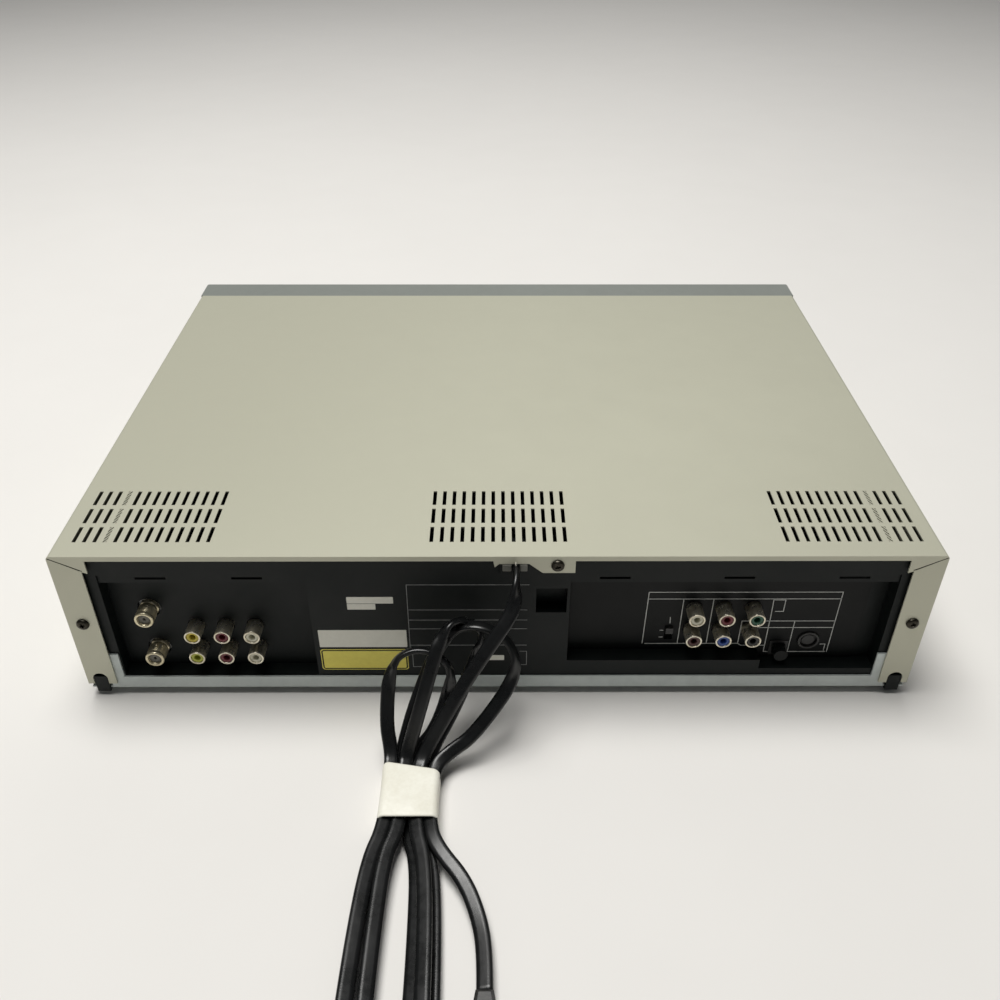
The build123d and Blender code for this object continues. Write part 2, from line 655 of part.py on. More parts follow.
with BuildPart() as front_av_jacks:
    for x, z in front_jacks:
        barrel(x, z, lower_face_y - 1.0, board_front_y, rca_r, sides=jack_sides)
        barrel(x, z, lower_face_y - 1.0, lower_face_y + 6, rca_r - rca_wall, Mode.SUBTRACT,
               jack_sides)
        barrel(x, z, lower_face_y - 0.4, lower_face_y + 6, rca_r - rca_wall - 0.6,
               sides=jack_sides)
        barrel(x, z, lower_face_y - 0.4, lower_face_y + 6, rca_hole_r, Mode.SUBTRACT,
               shank_sides)
save(front_av_jacks, "front_av_jacks")

for button_name, x, z, w, h in push_buttons:
    with BuildPart() as push_button:
        slab(x - w / 2, x + w / 2, front_y, button_rear_y, z - h / 2, z + h / 2)
        chamfer(push_button.faces().sort_by(Axis.Y)[0].edges(), 0.6)
        slab(x - w / 2 - button_rim, x + w / 2 + button_rim, rim_y0, rim_y0 + 1.2,
             z - h / 2 - button_rim, z + h / 2 + button_rim)
    save(push_button, button_name)

door_y0 = front_y + 0.4
with BuildPart() as cassette_door:
    slab(door_x0, door_x1, door_y0, door_y0 + door_t, door_z0, door_z1)
    chamfer(cassette_door.faces().sort_by(Axis.Y)[0].edges(), 0.8)
    slab(door_x0, door_x1, door_y0 + door_t, pin_y + 1.2, pin_z - 1.4, door_z1)
    rod_x(door_x0 - 3.8, door_x1 + 3.8, pin_y, pin_z, door_pin_r)
save(cassette_door, "cassette_door")

# ------------------------------------------------------------------ recorder: deck and drum
deck_x0 = 4.0
deck_x1 = 208.0
deck_y0 = -134.0
deck_y1 = 108.0
deck_top = deck_z + deck_plate_t
reel_x = [deck_x - reel_pitch / 2, deck_x + reel_pitch / 2]
drum_z = 20.0
arm_z = 27.0
bearing_top = arm_z - 1.0
drum_sides = 32
with BuildPart() as deck_chassis:
    slab(deck_x0, deck_x1, deck_y0, deck_y1, deck_z, deck_top)
    for x in (deck_x0, deck_x1 - 8):
        for y in (deck_y0, deck_y1 - 8):
            slab(x, x + 8, y, y + 8, deck_floor, deck_z)
    for x in reel_x:
        post(x, reel_y, deck_top, 34, 1.5)
    post(capstan_x, capstan_y, deck_top, bearing_top, 5.0, sides=jack_sides)
    post(capstan_x, capstan_y, deck_z, bearing_top, capstan_r + fit_gap, Mode.SUBTRACT)
    post(pinch_pivot_x, pinch_pivot_y, deck_top, 36, 2.0)
    slab(deck_x - 22, deck_x + 22, drum_y - 24, drum_y + 24, deck_top, deck_top + 2)
save(deck_chassis, "deck_chassis")

tilt_axis = Axis((deck_x, drum_y, drum_z), (1, 0, 0))
with BuildPart() as drum_base:
    post(deck_x, drum_y, drum_z, drum_z + 18, drum_r, sides=drum_sides)
    post(deck_x, drum_y, drum_z + 6, drum_z + 18, 3.0 + fit_gap, Mode.SUBTRACT)
    slab(deck_x - 18, deck_x + 18, drum_y - 18, drum_y + 18, deck_top + 4.2, drum_z)
drum_base.part = drum_base.part.rotate(tilt_axis, drum_tilt)
save(drum_base, "drum_base")

with BuildPart() as head_drum:
    post(deck_x, drum_y, drum_z + 18.1, drum_z + 40, drum_r, sides=drum_sides)
    post(deck_x, drum_y, drum_z + 34, drum_z + 40, drum_r - 5, Mode.SUBTRACT, drum_sides)
    post(deck_x, drum_y, drum_z + 34, drum_z + 39, 9, sides=jack_sides)
    post(deck_x, drum_y, drum_z + 7, drum_z + 18.1, 3.0)
head_drum.part = head_drum.part.rotate(tilt_axis, drum_tilt)
save(head_drum, "head_drum")

with BuildPart() as capstan:
    post(capstan_x, capstan_y, deck_floor + 0.8, deck_z - 0.7, flywheel_r, sides=drum_sides)
    post(capstan_x, capstan_y, deck_z - 0.7, 56, capstan_r)
save(capstan, "capstan")

for reel_name, x in zip(("supply_reel", "takeup_reel"), reel_x):
    with BuildPart() as reel:
        post(x, reel_y, deck_top + 2.6, deck_top + 8, reel_r, sides=foot_sides)
        post(x, reel_y, deck_top + 8, deck_top + 18, 8, sides=jack_sides)
        with BuildSketch(Plane.XY.offset(deck_top + 18)):
            with Locations((x, reel_y)):
                RegularPolygon(8, jack_sides)
        extrude(amount=6, taper=30)
        with BuildSketch(Plane.XY.offset(deck_top + 10)):
            with Locations((x, reel_y)):
                with PolarLocations(9.0, 3):
                    Rectangle(3.6, 2.0)
        extrude(amount=10)
        post(x, reel_y, deck_top, 34 + fit_gap, 1.5 + fit_gap, Mode.SUBTRACT)
    save(reel, reel_name)

# pinch roller on its arm, swung away from the capstan by pinch_swing
pinch_reach_x = capstan_x + 4.0 - pinch_pivot_x
pinch_reach_y = capstan_y + sqrt((capstan_r + pinch_roller_r + 0.12) ** 2 - 4.0 ** 2) - pinch_pivot_y
swing = radians(-pinch_swing)
roller_x = pinch_pivot_x + pinch_reach_x * cos(swing) - pinch_reach_y * sin(swing)
roller_y = pinch_pivot_y + pinch_reach_x * sin(swing) + pinch_reach_y * cos(swing)
pinch_angle = degrees(atan2(roller_y - pinch_pivot_y, roller_x - pinch_pivot_x))
with BuildPart() as pinch_arm:
    with BuildSketch(Plane.XY.offset(arm_z)):
        with Locations(((pinch_pivot_x + roller_x) / 2, (pinch_pivot_y + roller_y) / 2)):
            Rectangle(hypot(pinch_reach_x, pinch_reach_y) + 6, 8, rotation=pinch_angle)
    extrude(amount=2.0)
    post(pinch_pivot_x, pinch_pivot_y, arm_z - 4, arm_z + 6, 4.0, sides=jack_sides)
    post(pinch_pivot_x, pinch_pivot_y, arm_z - 5, arm_z + 7, 2.0 + fit_gap, Mode.SUBTRACT)
    post(roller_x, roller_y, arm_z, arm_z + 20, 1.5)
save(pinch_arm, "pinch_arm")

with BuildPart() as pinch_roller:
    post(roller_x, roller_y, arm_z + 2.4, arm_z + 18, pinch_roller_r, sides=foot_sides)
    post(roller_x, roller_y, arm_z + 2.4, arm_z + 18, 1.5 + fit_gap, Mode.SUBTRACT)
save(pinch_roller, "pinch_roller")

# ------------------------------------------------------------------ recorder: cassette carriage
basket_y1 = basket_y0 + basket_l
basket_in = cassette_half_w + 0.6
basket_out = basket_in + side_t
frame_in = basket_out + 0.5
frame_out = frame_in + side_t
housing_in = frame_out + 0.4
housing_out = housing_in + 1.2
basket_z0 = cassette_z - 2.0
basket_z1 = cassette_z + cassette_h + 1.8
frame_top = 80.0
housing_top = 85.0
with BuildPart() as cassette_basket:
    for side in (-1, 1):
        wall = sorted((deck_x + side * basket_in, deck_x + side * basket_out))
        slab(wall[0], wall[1], basket_y0, basket_y1, basket_z0, basket_z1)
        ledge = sorted((deck_x + side * basket_in, deck_x + side * (basket_in - 10)))
        slab(ledge[0], ledge[1], basket_y0, basket_y1, basket_z0 + 0.7, basket_z0 + 1.7)
    slab(deck_x - basket_out, deck_x + basket_out, basket_y0, basket_y1, basket_z1 - 1, basket_z1)
    slab(deck_x - 70, deck_x + 70, basket_y0 + 14, basket_y1 - 14, basket_z1 - 1, basket_z1,
         Mode.SUBTRACT)
save(cassette_basket, "cassette_basket")

with BuildPart() as lift_frame:
    for side in (-1, 1):
        wall = sorted((deck_x + side * frame_in, deck_x + side * frame_out))
        slab(wall[0], wall[1], basket_y0 + 2, basket_y1, basket_z0 - lift_travel - 1, frame_top)
    slab(deck_x - frame_out, deck_x + frame_out, basket_y1 - 10, basket_y1, frame_top - 1,
         frame_top + 0.4)
save(lift_frame, "lift_frame")

with BuildPart() as cassette_housing:
    for side in (-1, 1):
        wall = sorted((deck_x + side * housing_in, deck_x + side * housing_out))
        slab(wall[0], wall[1], basket_y0 - 1, basket_y1 + carriage_travel + 2, deck_top, housing_top)
        slab(wall[0], wall[1], basket_y0 + 12, basket_y1 + carriage_travel - 10, 30, 62,
             Mode.SUBTRACT)
    slab(deck_x - housing_out, deck_x + housing_out, basket_y0, basket_y0 + 10, housing_top - 1,
         housing_top + 0.2)
save(cassette_housing, "cassette_housing")

# ------------------------------------------------------------------ disc drive: frame and tray
bezel_y0 = front_y - screw_head_h
tray_y0 = bezel_y0 + bezel_t
tray_y1 = tray_y0 + tray_l
disc_y = tray_y0 + disc_offset
loader_y1 = loader_y0 + loader_l
loader_in = loader_w / 2 - loader_wall
rail_in = tray_w / 2 - 1.5
tray_top = tray_z + tray_t
tray_gear_r = tray_module * gear_teeth / 2
rack_x = drive_x + 56.0
tray_gear_x = rack_x - tray_gear_r
tray_gear_y = loader_y0 + 12.0
feed_gear_r = feed_module * gear_teeth / 2


def tooth_widths(module):
    """Half widths of a tooth at its root, pitch and tip, and how far root and tip lie off pitch."""
    return 0.80 * module, 0.66 * module, 0.40 * module, 0.95 * module, 0.70 * module


def gear_points(teeth, module, x, y, phase=0.0):
    """Corner points of a straight-flanked gear about (x, y), one tooth at the phase angle."""
    root_half, _, tip_half, below, above = tooth_widths(module)
    pitch_r = module * teeth / 2
    points = []
    for i in range(teeth):
        angle = phase + 2 * pi * i / teeth
        for radius, half in ((pitch_r - below, -root_half), (pitch_r + above, -tip_half),
                             (pitch_r + above, tip_half), (pitch_r - below, root_half)):
            points.append((x + radius * cos(angle) - half * sin(angle),
                           y + radius * sin(angle) + half * cos(angle)))
    return points


def rack_points(module, pitch_x, side, back_x, gap_y, first, count):
    """Outline of a rack along Y; its teeth point to side, with a gap centred on gap_y."""
    _, pitch_half, tip_half, below, above = tooth_widths(module)
    root_half = pitch_half + below * tan(radians(20))
    pitch = pi * module
    root_x = pitch_x - side * below
    tip_x = pitch_x + side * above
    points = [(back_x, gap_y + first * pitch)]
    for k in range(first, first + count):
        y = gap_y + (k + 0.5) * pitch
        points += [(root_x, y - root_half), (tip_x, y - tip_half), (tip_x, y + tip_half),
                   (root_x, y + root_half)]
    points.append((back_x, gap_y + (first + count) * pitch))
    return points


with BuildPart() as loader_frame:
    slab(drive_x - loader_w / 2, drive_x + loader_w / 2, loader_y0, loader_y1, loader_z,
         loader_z + loader_t)
    for side in (-1, 1):
        wall = sorted((drive_x + side * loader_in, drive_x + side * loader_w / 2))
        slab(wall[0], wall[1], loader_y0, loader_y1, loader_z, loader_top)
        rail = sorted((drive_x + side * loader_in, drive_x + side * rail_in))
        slab(rail[0], rail[1], loader_y0, loader_y1, tray_z - rail_gap - 3, tray_z - rail_gap)
        slab(rail[0], rail[1], loader_y0, loader_y1, tray_top + rail_gap, tray_top + rail_gap + 5.2)
        for y in (loader_y0, loader_y1 - 8):
            leg = sorted((drive_x + side * (loader_w / 2 - 8), drive_x + side * loader_w / 2))
            slab(leg[0], leg[1], y, y + 8, deck_floor, loader_z)
    post(tray_gear_x, tray_gear_y, loader_z + loader_t, tray_z - 1, 2.0)
    # loading motor and its pulley
    post(drive_x - 30, tray_gear_y, loader_z + loader_t, loader_z + loader_t + 9, 9.0,
         sides=jack_sides)
    post(drive_x - 30, tray_gear_y, loader_z + loader_t + 9, loader_z + loader_t + 13, 3.0,
         sides=shank_sides)
    with BuildSketch(Plane.XY.offset(loader_z + loader_t)):
        with Locations((drive_x, disc_y + 38)):
            Rectangle(56, 110)
    extrude(amount=-loader_t, mode=Mode.SUBTRACT)
save(loader_frame, "loader_frame")

with BuildPart() as disc_tray:
    slab(drive_x - tray_w / 2, drive_x + tray_w / 2, tray_y0, tray_y1, tray_z, tray_top)
    fillet(disc_tray.edges().filter_by(Axis.Z).sort_by(Axis.Y)[-2:], 8.0)
    with BuildSketch(Plane.XY.offset(tray_top)):
        with Locations((drive_x, disc_y)):
            Circle(disc_r)
    extrude(amount=-disc_depth, mode=Mode.SUBTRACT)
    with BuildSketch(Plane.XY.offset(tray_top)):
        with Locations((drive_x, disc_y)):
            RegularPolygon(turntable_r + 4, foot_sides)
        with Locations((drive_x, disc_y + 33)):
            Rectangle(2 * turntable_r + 8, 66)
    extrude(amount=-tray_t, mode=Mode.SUBTRACT)
    rack_top = tray_z
    with BuildSketch(Plane.XY.offset(rack_top)):
        with BuildLine():
            Polyline(*rack_points(tray_module, rack_x, -1, rack_x + 5.5, tray_gear_y, -4, 36),
                     close=True)
        make_face()
    extrude(amount=-5.2)
save(disc_tray, "disc_tray")

with BuildPart() as tray_bezel:
    slab(drive_x - bezel_w / 2, drive_x + bezel_w / 2, bezel_y0, tray_y0, bezel_z0, bezel_z1)
    fillet(tray_bezel.faces().sort_by(Axis.Y)[0].edges(), 1.2)
save(tray_bezel, "tray_bezel")

with BuildPart() as tray_gear:
    with BuildSketch(Plane.XY.offset(tray_z - 6.5)):
        with BuildLine():
            Polyline(*gear_points(gear_teeth, tray_module, tray_gear_x, tray_gear_y), close=True)
        make_face()
    extrude(amount=5.8)
    post(tray_gear_x, tray_gear_y, loader_z + loader_t + 0.3, tray_z - 6.5, 6.0,
         sides=jack_sides)
    post(tray_gear_x, tray_gear_y, loader_z, tray_z, 2.0 + fit_gap, Mode.SUBTRACT)
save(tray_gear, "tray_gear")

# ------------------------------------------------------------------ disc drive: traverse and clamp
traverse_z = loader_z + loader_t + 0.3
traverse_top = traverse_z + 2.0
rod_z = traverse_z + 5.3
rod_y0 = disc_y + 16.0
rod_y1 = rod_y0 + rod_l
feed_gear_x = drive_x + 35.0
feed_gear_y = disc_y + 50.0
seat_z = traverse_top + 11.9
with BuildPart() as traverse:
    slab(drive_x - 46, drive_x + 46, disc_y - 20, rod_y1 + 8, traverse_z, traverse_top)
    slab(drive_x - 19, drive_x + 19, disc_y + 16, rod_y1 - 4, traverse_z, traverse_top,
         Mode.SUBTRACT)
    post(drive_x, disc_y, traverse_top, traverse_top + 7.7, 11.0, sides=jack_sides)
    post(drive_x, disc_y, traverse_z + 1, traverse_top + 7.7, spindle_r + fit_gap, Mode.SUBTRACT)
    for side in (-1, 1):
        x = drive_x + side * rod_offset
        barrel(x, rod_z, rod_y0 - 4, rod_y1 + 4, rod_r)
        for y in (rod_y0 - 4, rod_y1):
            slab(x - 2.5, x + 2.5, y, y + 4, traverse_top, rod_z + 2.2)
    post(feed_gear_x, feed_gear_y, traverse_top, rod_z + 2.0, 1.5)
save(traverse, "traverse")

with BuildPart() as turntable:
    post(drive_x, disc_y, seat_z - 3.3, seat_z, turntable_r, sides=foot_sides)
    post(drive_x, disc_y, traverse_z + 1.4, seat_z - 3.3, spindle_r)
    with BuildSketch(Plane.XY.offset(seat_z)):
        with Locations((drive_x, disc_y)):
            RegularPolygon(7.3, jack_sides)
    extrude(amount=2.2, taper=35)
save(turntable, "turntable")

with BuildPart() as pickup:
    body_y0 = disc_y + 15.5
    body_y1 = body_y0 + 21.0
    slab(drive_x - 17, drive_x + 17, body_y0 + 5, body_y1, traverse_z + 2.7, traverse_z + 7.7)
    slab(drive_x - 27.5, drive_x - 17, body_y0 + 5, body_y1, rod_z - 2.4, rod_z + 2.3)
    slab(drive_x + 17, drive_x + 28.05, body_y0 + 5, body_y1, rod_z - 2.4, rod_z + 2.3)
    post(drive_x, disc_y + 25, traverse_z + 7.7, traverse_z + 10.2, 6.5, sides=jack_sides)
    post(drive_x, disc_y + 25, traverse_z + 10.2, traverse_z + 10.6, 3.4, sides=jack_sides)
    for side in (-1, 1):
        barrel(drive_x + side * rod_offset, rod_z, body_y0, body_y1 + 1, rod_r + fit_gap,
               Mode.SUBTRACT)
    with BuildSketch(Plane.XY.offset(rod_z + 1.6)):
        with BuildLine():
            Polyline(*rack_points(feed_module, feed_gear_x - feed_gear_r, 1,
                                  feed_gear_x - feed_gear_r - 2.2, feed_gear_y, -12, 14),
                     close=True)
        make_face()
    extrude(amount=-3.6)
save(pickup, "pickup")

with BuildPart() as feed_gear:
    with BuildSketch(Plane.XY.offset(rod_z - 2.0)):
        with BuildLine():
            Polyline(*gear_points(gear_teeth, feed_module, feed_gear_x, feed_gear_y), close=True)
        make_face()
    extrude(amount=3.6)
    post(feed_gear_x, feed_gear_y, rod_z - 3, rod_z + 3, 1.5 + fit_gap, Mode.SUBTRACT)
save(feed_gear, "feed_gear")

bridge_z = tray_top + rail_gap + 5.2
puck_z0 = tray_top + 1.7
with BuildPart() as clamp_bridge:
    slab(drive_x - loader_in + seam, drive_x + loader_in - seam, disc_y - bridge_y_half,
         disc_y + bridge_y_half, bridge_z, bridge_z + 1.2)
    post(drive_x, disc_y, bridge_z, bridge_z + 1.2, puck_r + puck_gap, Mode.SUBTRACT)
save(clamp_bridge, "clamp_bridge")

with BuildPart() as clamp_puck:
    post(drive_x, disc_y, puck_z0, bridge_z + 1.5, puck_r)
    post(drive_x, disc_y, bridge_z + 1.5, bridge_z + 3.0, puck_r + 3, sides=foot_sides)
    post(drive_x, disc_y, puck_z0, puck_z0 + 2.5, 8.5, Mode.SUBTRACT, jack_sides)
save(clamp_puck, "clamp_puck")

# ------------------------------------------------------------------ mains lead: free stretch
relief_y1 = rear_y - 0.4
relief_tail = 22.0
lower_strand_z = tie_wall + 0.2 + cord_d / 2
upper_strand_z = lower_strand_z + layer_pitch
strand_x = {"L": tie_x + 1.5 * strand_pitch, "B": tie_x + 0.5 * strand_pitch,
            "A": tie_x - 0.5 * strand_pitch, "end": tie_x - 1.5 * strand_pitch,
            "R": tie_x + strand_pitch, "Y": tie_x, "X": tie_x - strand_pitch}
upper_strands = ("L", "B", "A", "end")
exit_x = cord_x - 1.0
exit_z = (relief_z0 + relief_z1) / 2
hank_y0 = tie_y + 8.0
lead_route = [
    (exit_x, relief_y1, exit_z),
    (exit_x, relief_y1 + 7.5, exit_z),
    (exit_x + 0.1, 173.4, 80.3),
    (-6.5, 179.1, 74.6),
    (-0.6, 184.7, 67.6),
    (7.5, 190.0, 56.8),
    (16.9, 195.9, 44.4),
    (25.9, 201.6, 31.7),
    (32.8, 205.8, 20.6),
    (36.5, 209.6, 13.0),
    (strand_x["A"], 215.4, upper_strand_z),
    (strand_x["A"], hank_y0, upper_strand_z),
]


def corner_radii(route, share=0.45):
    """One radius for each corner: as large as the two runs beside it allow."""
    radii = []
    for before, corner, after in zip(route, route[1:], route[2:]):
        run_in = Vector(*corner) - Vector(*before)
        run_out = Vector(*after) - Vector(*corner)
        half_turn = radians(run_in.get_angle(run_out)) / 2
        radii.append(share * min(run_in.length, run_out.length) / tan(half_turn))
    return radii


def tube(route, radii, name):
    """A six-sided tube of the lead's size along the route, saved under its name."""
    with BuildPart() as lead:
        with BuildLine() as path:
            FilletPolyline(*route, radius=radii)
        start = Vector(*route[0])
        with BuildSketch(Plane(origin=start, z_dir=Vector(*route[1]) - start)):
            RegularPolygon(cord_d / 2, cord_sides)
        section = lead.pending_faces[0].area
        sweep(path=path.wires()[0])
    length = path.wires()[0].length
    print(name, "length", round(length, 1), "least radius", round(min(radii), 1), "volume share",
          round(lead.part.volume / (length * section), 4))
    save(lead, name)
    return path.wires()[0]


lead_radii = corner_radii(lead_route)
print("power_cord radii", [round(radius, 1) for radius in lead_radii])
tube(lead_route, lead_radii, "power_cord")

with BuildPart() as strain_relief:
    slab(cord_x - relief_w / 2, cord_x + relief_w / 2, panel_y - panel_t, relief_y1, relief_z0,
         relief_z1)
    for y, narrower in ((panel_y - panel_t, 0.0), (relief_y1 - relief_tail, 1.5)):
        with BuildSketch(upright(y)):
            with Locations((cord_x, exit_z)):
                Rectangle(relief_w - 2 * narrower, relief_h - 2 * narrower)
    loft(ruled=True)
save(strain_relief, "strain_relief")

# ------------------------------------------------------------------ mains lead: the hank
# Seven strands pass through the tie. Three loops fan out above it, leaning on the rear panel,
# and three lie on the floor beyond it; each is a pair of shoulders and a half turn.
lean = radians(57.0)
lean_r = 12.0
mouth_y = tie_y - 1.0
waist_y = tie_y + tie_l + 3.0
mid_z = (lower_strand_z + upper_strand_z) / 2
# strands of each loop, its half width, the middle of its turn, its tilt, and how far its eight
# points stand in front of the leaning plane, so that no strand runs through another
upper_loops = [
    ("L", "Y", 14.4, 43.0, -11.0, (2.9, 3.0, 3.0, 2.3, 2.4, 0.0, -1.0, -2.2)),
    ("B", "X", 10.5, 63.0, -19.0, (3.5, 8.6, 7.6, 0.3, -4.8, -5.6, -7.0, -4.2)),
    ("R", "end", 21.0, 51.0, -30.0, (-3.0, -4.4, -3.4, 3.9, 0.2, 0.0, 1.0, 2.4)),
]
lower_loops = [("A", "L", 15.5, 112.0), ("Y", "B", 9.0, 92.0), ("X", "R", 15.6, 104.0)]
shoulder_s = 9.0
shoulder_share = 0.12
turn_at = [(0.40, 157.5), (0.46, 112.5), (0.54, 67.5), (0.60, 22.5)]


def strand_w(strand):
    """How far a strand lies above the middle of the two layers."""
    return layer_pitch / 2 if strand in upper_strands else -layer_pitch / 2


def on_lean(x, s, w):
    """A point of the leaning loops, s along them from the tie's mouth and w in front of them."""
    angle = min(max(s, 0) / lean_r, lean)
    straight = s if s < 0 else max(s - lean_r * lean, 0)
    y = mouth_y - lean_r * sin(angle) - straight * cos(angle) + w * sin(angle)
    z = mid_z + lean_r * (1 - cos(angle)) + straight * sin(angle) + w * cos(angle)
    return (x, y, z)


def upper_loop(first, last, half, centre, tilt, fronts):
    """Control points of one leaning loop, from one strand's mouth to the other's."""
    x0, x1 = strand_x[first], strand_x[last]
    root = (x0 + x1) / 2
    turn = radians(tilt)
    side = 1 if x0 > x1 else -1
    reach = half / cos(radians(22.5))
    flat = [(-0.78 * half, 0.50 * centre)]
    flat += [(reach * cos(radians(a)), centre + reach * sin(radians(a))) for _, a in turn_at]
    flat += [(0.78 * half, 0.50 * centre)]
    leant = [(root - across * side * cos(turn) + along * sin(turn),
              along * cos(turn) + across * side * sin(turn)) for across, along in flat]
    points = [on_lean(x0, -2, strand_w(first)),
              on_lean(x0 + shoulder_share * (leant[0][0] - x0), shoulder_s, fronts[0])]
    points += [on_lean(x, s, w) for (x, s), w in zip(leant, fronts[1:-1])]
    points += [on_lean(x1 + shoulder_share * (leant[-1][0] - x1), shoulder_s, fronts[-1]),
               on_lean(x1, -2, strand_w(last))]
    return points


def lower_loop(first, last, half, centre):
    """Control points of one loop that lies beyond the tie."""
    x0, x1 = strand_x[first], strand_x[last]
    root = (x0 + x1) / 2
    side = 1 if x0 < x1 else -1
    reach = half / cos(radians(22.5))
    points = [(x0, waist_y, mid_z + strand_w(first))]
    flat = [(0.15, -0.80 * half, 0.16 * centre), (0.30, -0.96 * half, 0.55 * centre)]
    flat += [(t, reach * cos(radians(a)), centre + reach * sin(radians(a))) for t, a in turn_at]
    flat += [(0.70, 0.96 * half, 0.55 * centre), (0.85, 0.80 * half, 0.16 * centre)]
    for t, across, along in flat:
        w = strand_w(first) * (1 - t) + strand_w(last) * t
        points.append((root + side * across, waist_y + along, mid_z + w))
    points.append((x1, waist_y, mid_z + strand_w(last)))
    return points


hank_route = [(strand_x["A"], hank_y0, upper_strand_z)]
for lower, upper in zip(lower_loops, upper_loops):
    hank_route += lower_loop(*lower)
    hank_route += upper_loop(*upper)
hank_route += [
    (strand_x["end"], waist_y, upper_strand_z),
    (strand_x["end"] - 5.0, waist_y + 12.0, upper_strand_z),
    (strand_x["end"] - 17.0, waist_y + 26.0, upper_strand_z - 2.0),
    (strand_x["end"] - 24.0, waist_y + 44.0, lower_strand_z + 1.5),
    (strand_x["end"] - 26.0, waist_y + 60.0, lower_strand_z + 1.5),
]
plug_x = strand_x["end"] - 26.0
plug_y = waist_y + 74.0
plug_z = lower_strand_z + 1.5
hank_route.append((plug_x, plug_y, plug_z))
hank_radii = corner_radii(hank_route)
hank_path = tube(hank_route, hank_radii, "cord_hank")

samples = 900
step = hank_path.length / samples
walk = [hank_path.position_at(i / samples) for i in range(samples + 1)]
skip = int(4 * cord_d / step)
least_gap = min((walk[i] - walk[j]).length for i in range(len(walk))
                for j in range(i + skip, len(walk))) - cord_d
print("cord_hank least gap to itself", round(least_gap, 2))

with BuildPart() as cord_tie:
    tie_half = 1.5 * strand_pitch + cord_d / 2 + 0.5 + tie_wall
    tie_top = upper_strand_z + cord_d / 2 + 0.4 + tie_wall
    for wall, corner, mode in ((0.0, 2.0, Mode.ADD), (tie_wall, 1.5, Mode.SUBTRACT)):
        with BuildSketch(upright(tie_y + tie_l)) as ring:
            with Locations((tie_x, tie_top / 2)):
                Rectangle(2 * (tie_half - wall), tie_top - 2 * wall)
            chamfer(ring.vertices(), corner)
        extrude(amount=tie_l - 1.5, mode=mode)
save(cord_tie, "cord_tie")

# ------------------------------------------------------------------ mains plug
plug_l = 26.0
plug_w = 24.0
plug_h = 9.0
with BuildPart() as power_plug:
    with BuildSketch(Plane.XY.offset(plug_z - plug_h / 2)):
        with BuildLine():
            Polyline(
                (plug_x - 3.6, plug_y), (plug_x + 3.6, plug_y), (plug_x + 5.2, plug_y + 9),
                (plug_x + plug_w / 2, plug_y + 17), (plug_x + plug_w / 2, plug_y + plug_l),
                (plug_x - plug_w / 2, plug_y + plug_l), (plug_x - plug_w / 2, plug_y + 17),
                (plug_x - 5.2, plug_y + 9),
                close=True,
            )
        make_face()
    extrude(amount=plug_h)
    chamfer(power_plug.faces().filter_by(Axis.Z).edges(), 1.5)
    for side in (-1, 1):
        slab(plug_x + side * 6.35 - 0.75, plug_x + side * 6.35 + 0.75, plug_y + plug_l,
             plug_y + plug_l + 16, plug_z - 3.1, plug_z + 3.1)
save(power_plug, "power_plug")
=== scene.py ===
# %% [markdown]
# # A disc player and cassette recorder, seen from behind
# The CAD model gives every solid its true size and place. This notebook dresses it: it sets the
# camera where the photographer stood, lays the mains lead, and gives each piece its finish.
# We load the imported model first.

# %% Load the frame
from math import cos, pi, radians, sin

import bmesh
import bpy
from mathutils import Matrix, Vector


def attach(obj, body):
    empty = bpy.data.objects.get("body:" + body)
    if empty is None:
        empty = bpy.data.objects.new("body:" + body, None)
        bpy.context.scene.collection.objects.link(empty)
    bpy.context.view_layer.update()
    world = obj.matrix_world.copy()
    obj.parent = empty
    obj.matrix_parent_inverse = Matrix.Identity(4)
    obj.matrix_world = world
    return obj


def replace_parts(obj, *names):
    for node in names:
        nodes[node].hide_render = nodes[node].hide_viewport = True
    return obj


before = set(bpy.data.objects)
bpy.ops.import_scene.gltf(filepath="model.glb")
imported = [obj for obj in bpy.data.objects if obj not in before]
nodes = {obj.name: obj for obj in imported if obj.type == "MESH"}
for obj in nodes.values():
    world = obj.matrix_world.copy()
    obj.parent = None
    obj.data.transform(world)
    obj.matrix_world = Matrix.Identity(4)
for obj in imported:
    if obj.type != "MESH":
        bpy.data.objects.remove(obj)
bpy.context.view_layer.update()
mm = 0.001


# %% Two helpers for every piece
def metres(*point):
    """A point given in millimetres, in metres."""
    return tuple(v * mm for v in point)


def linked(name, data):
    """A new object for the data, put into the scene."""
    thing = bpy.data.objects.new(name, data)
    bpy.context.scene.collection.objects.link(thing)
    return thing


# %% [markdown]
# ## Where the camera stood
# The four corners of the cover and the jacks fix the view: the lens was 36 cm behind the machine's
# rear and 38 cm above the floor, looking down by 36 degrees. We build the camera's turn from its
# line of sight, so that no angle has to be guessed by eye.

# %% Camera
look_down, look_aside, roll = 0.6231, -0.0041, 0.0015
sensor_mm, focal_px, frame_px = 36.0, 968.65, 1000
lens_place = Vector((0.7, 518.6, 384.1)) * mm
sight = Vector((sin(look_aside) * cos(look_down), -cos(look_aside) * cos(look_down),
                -sin(look_down)))
across = sight.cross(Vector((0, 0, 1))).normalized()
above = across.cross(sight)
right = across * cos(roll) + above * sin(roll)
top = above * cos(roll) - across * sin(roll)
camera_data = bpy.data.cameras.new("camera")
camera_data.sensor_width = sensor_mm
camera_data.lens = sensor_mm * focal_px / frame_px
camera_data.clip_start = 0.01
camera = linked("camera", camera_data)
camera.matrix_world = Matrix.LocRotScale(
    lens_place, Matrix((right, top, -sight)).transposed().to_quaternion(), None)
bpy.context.scene.camera = camera
print("lens", round(camera_data.lens, 2), "mm")

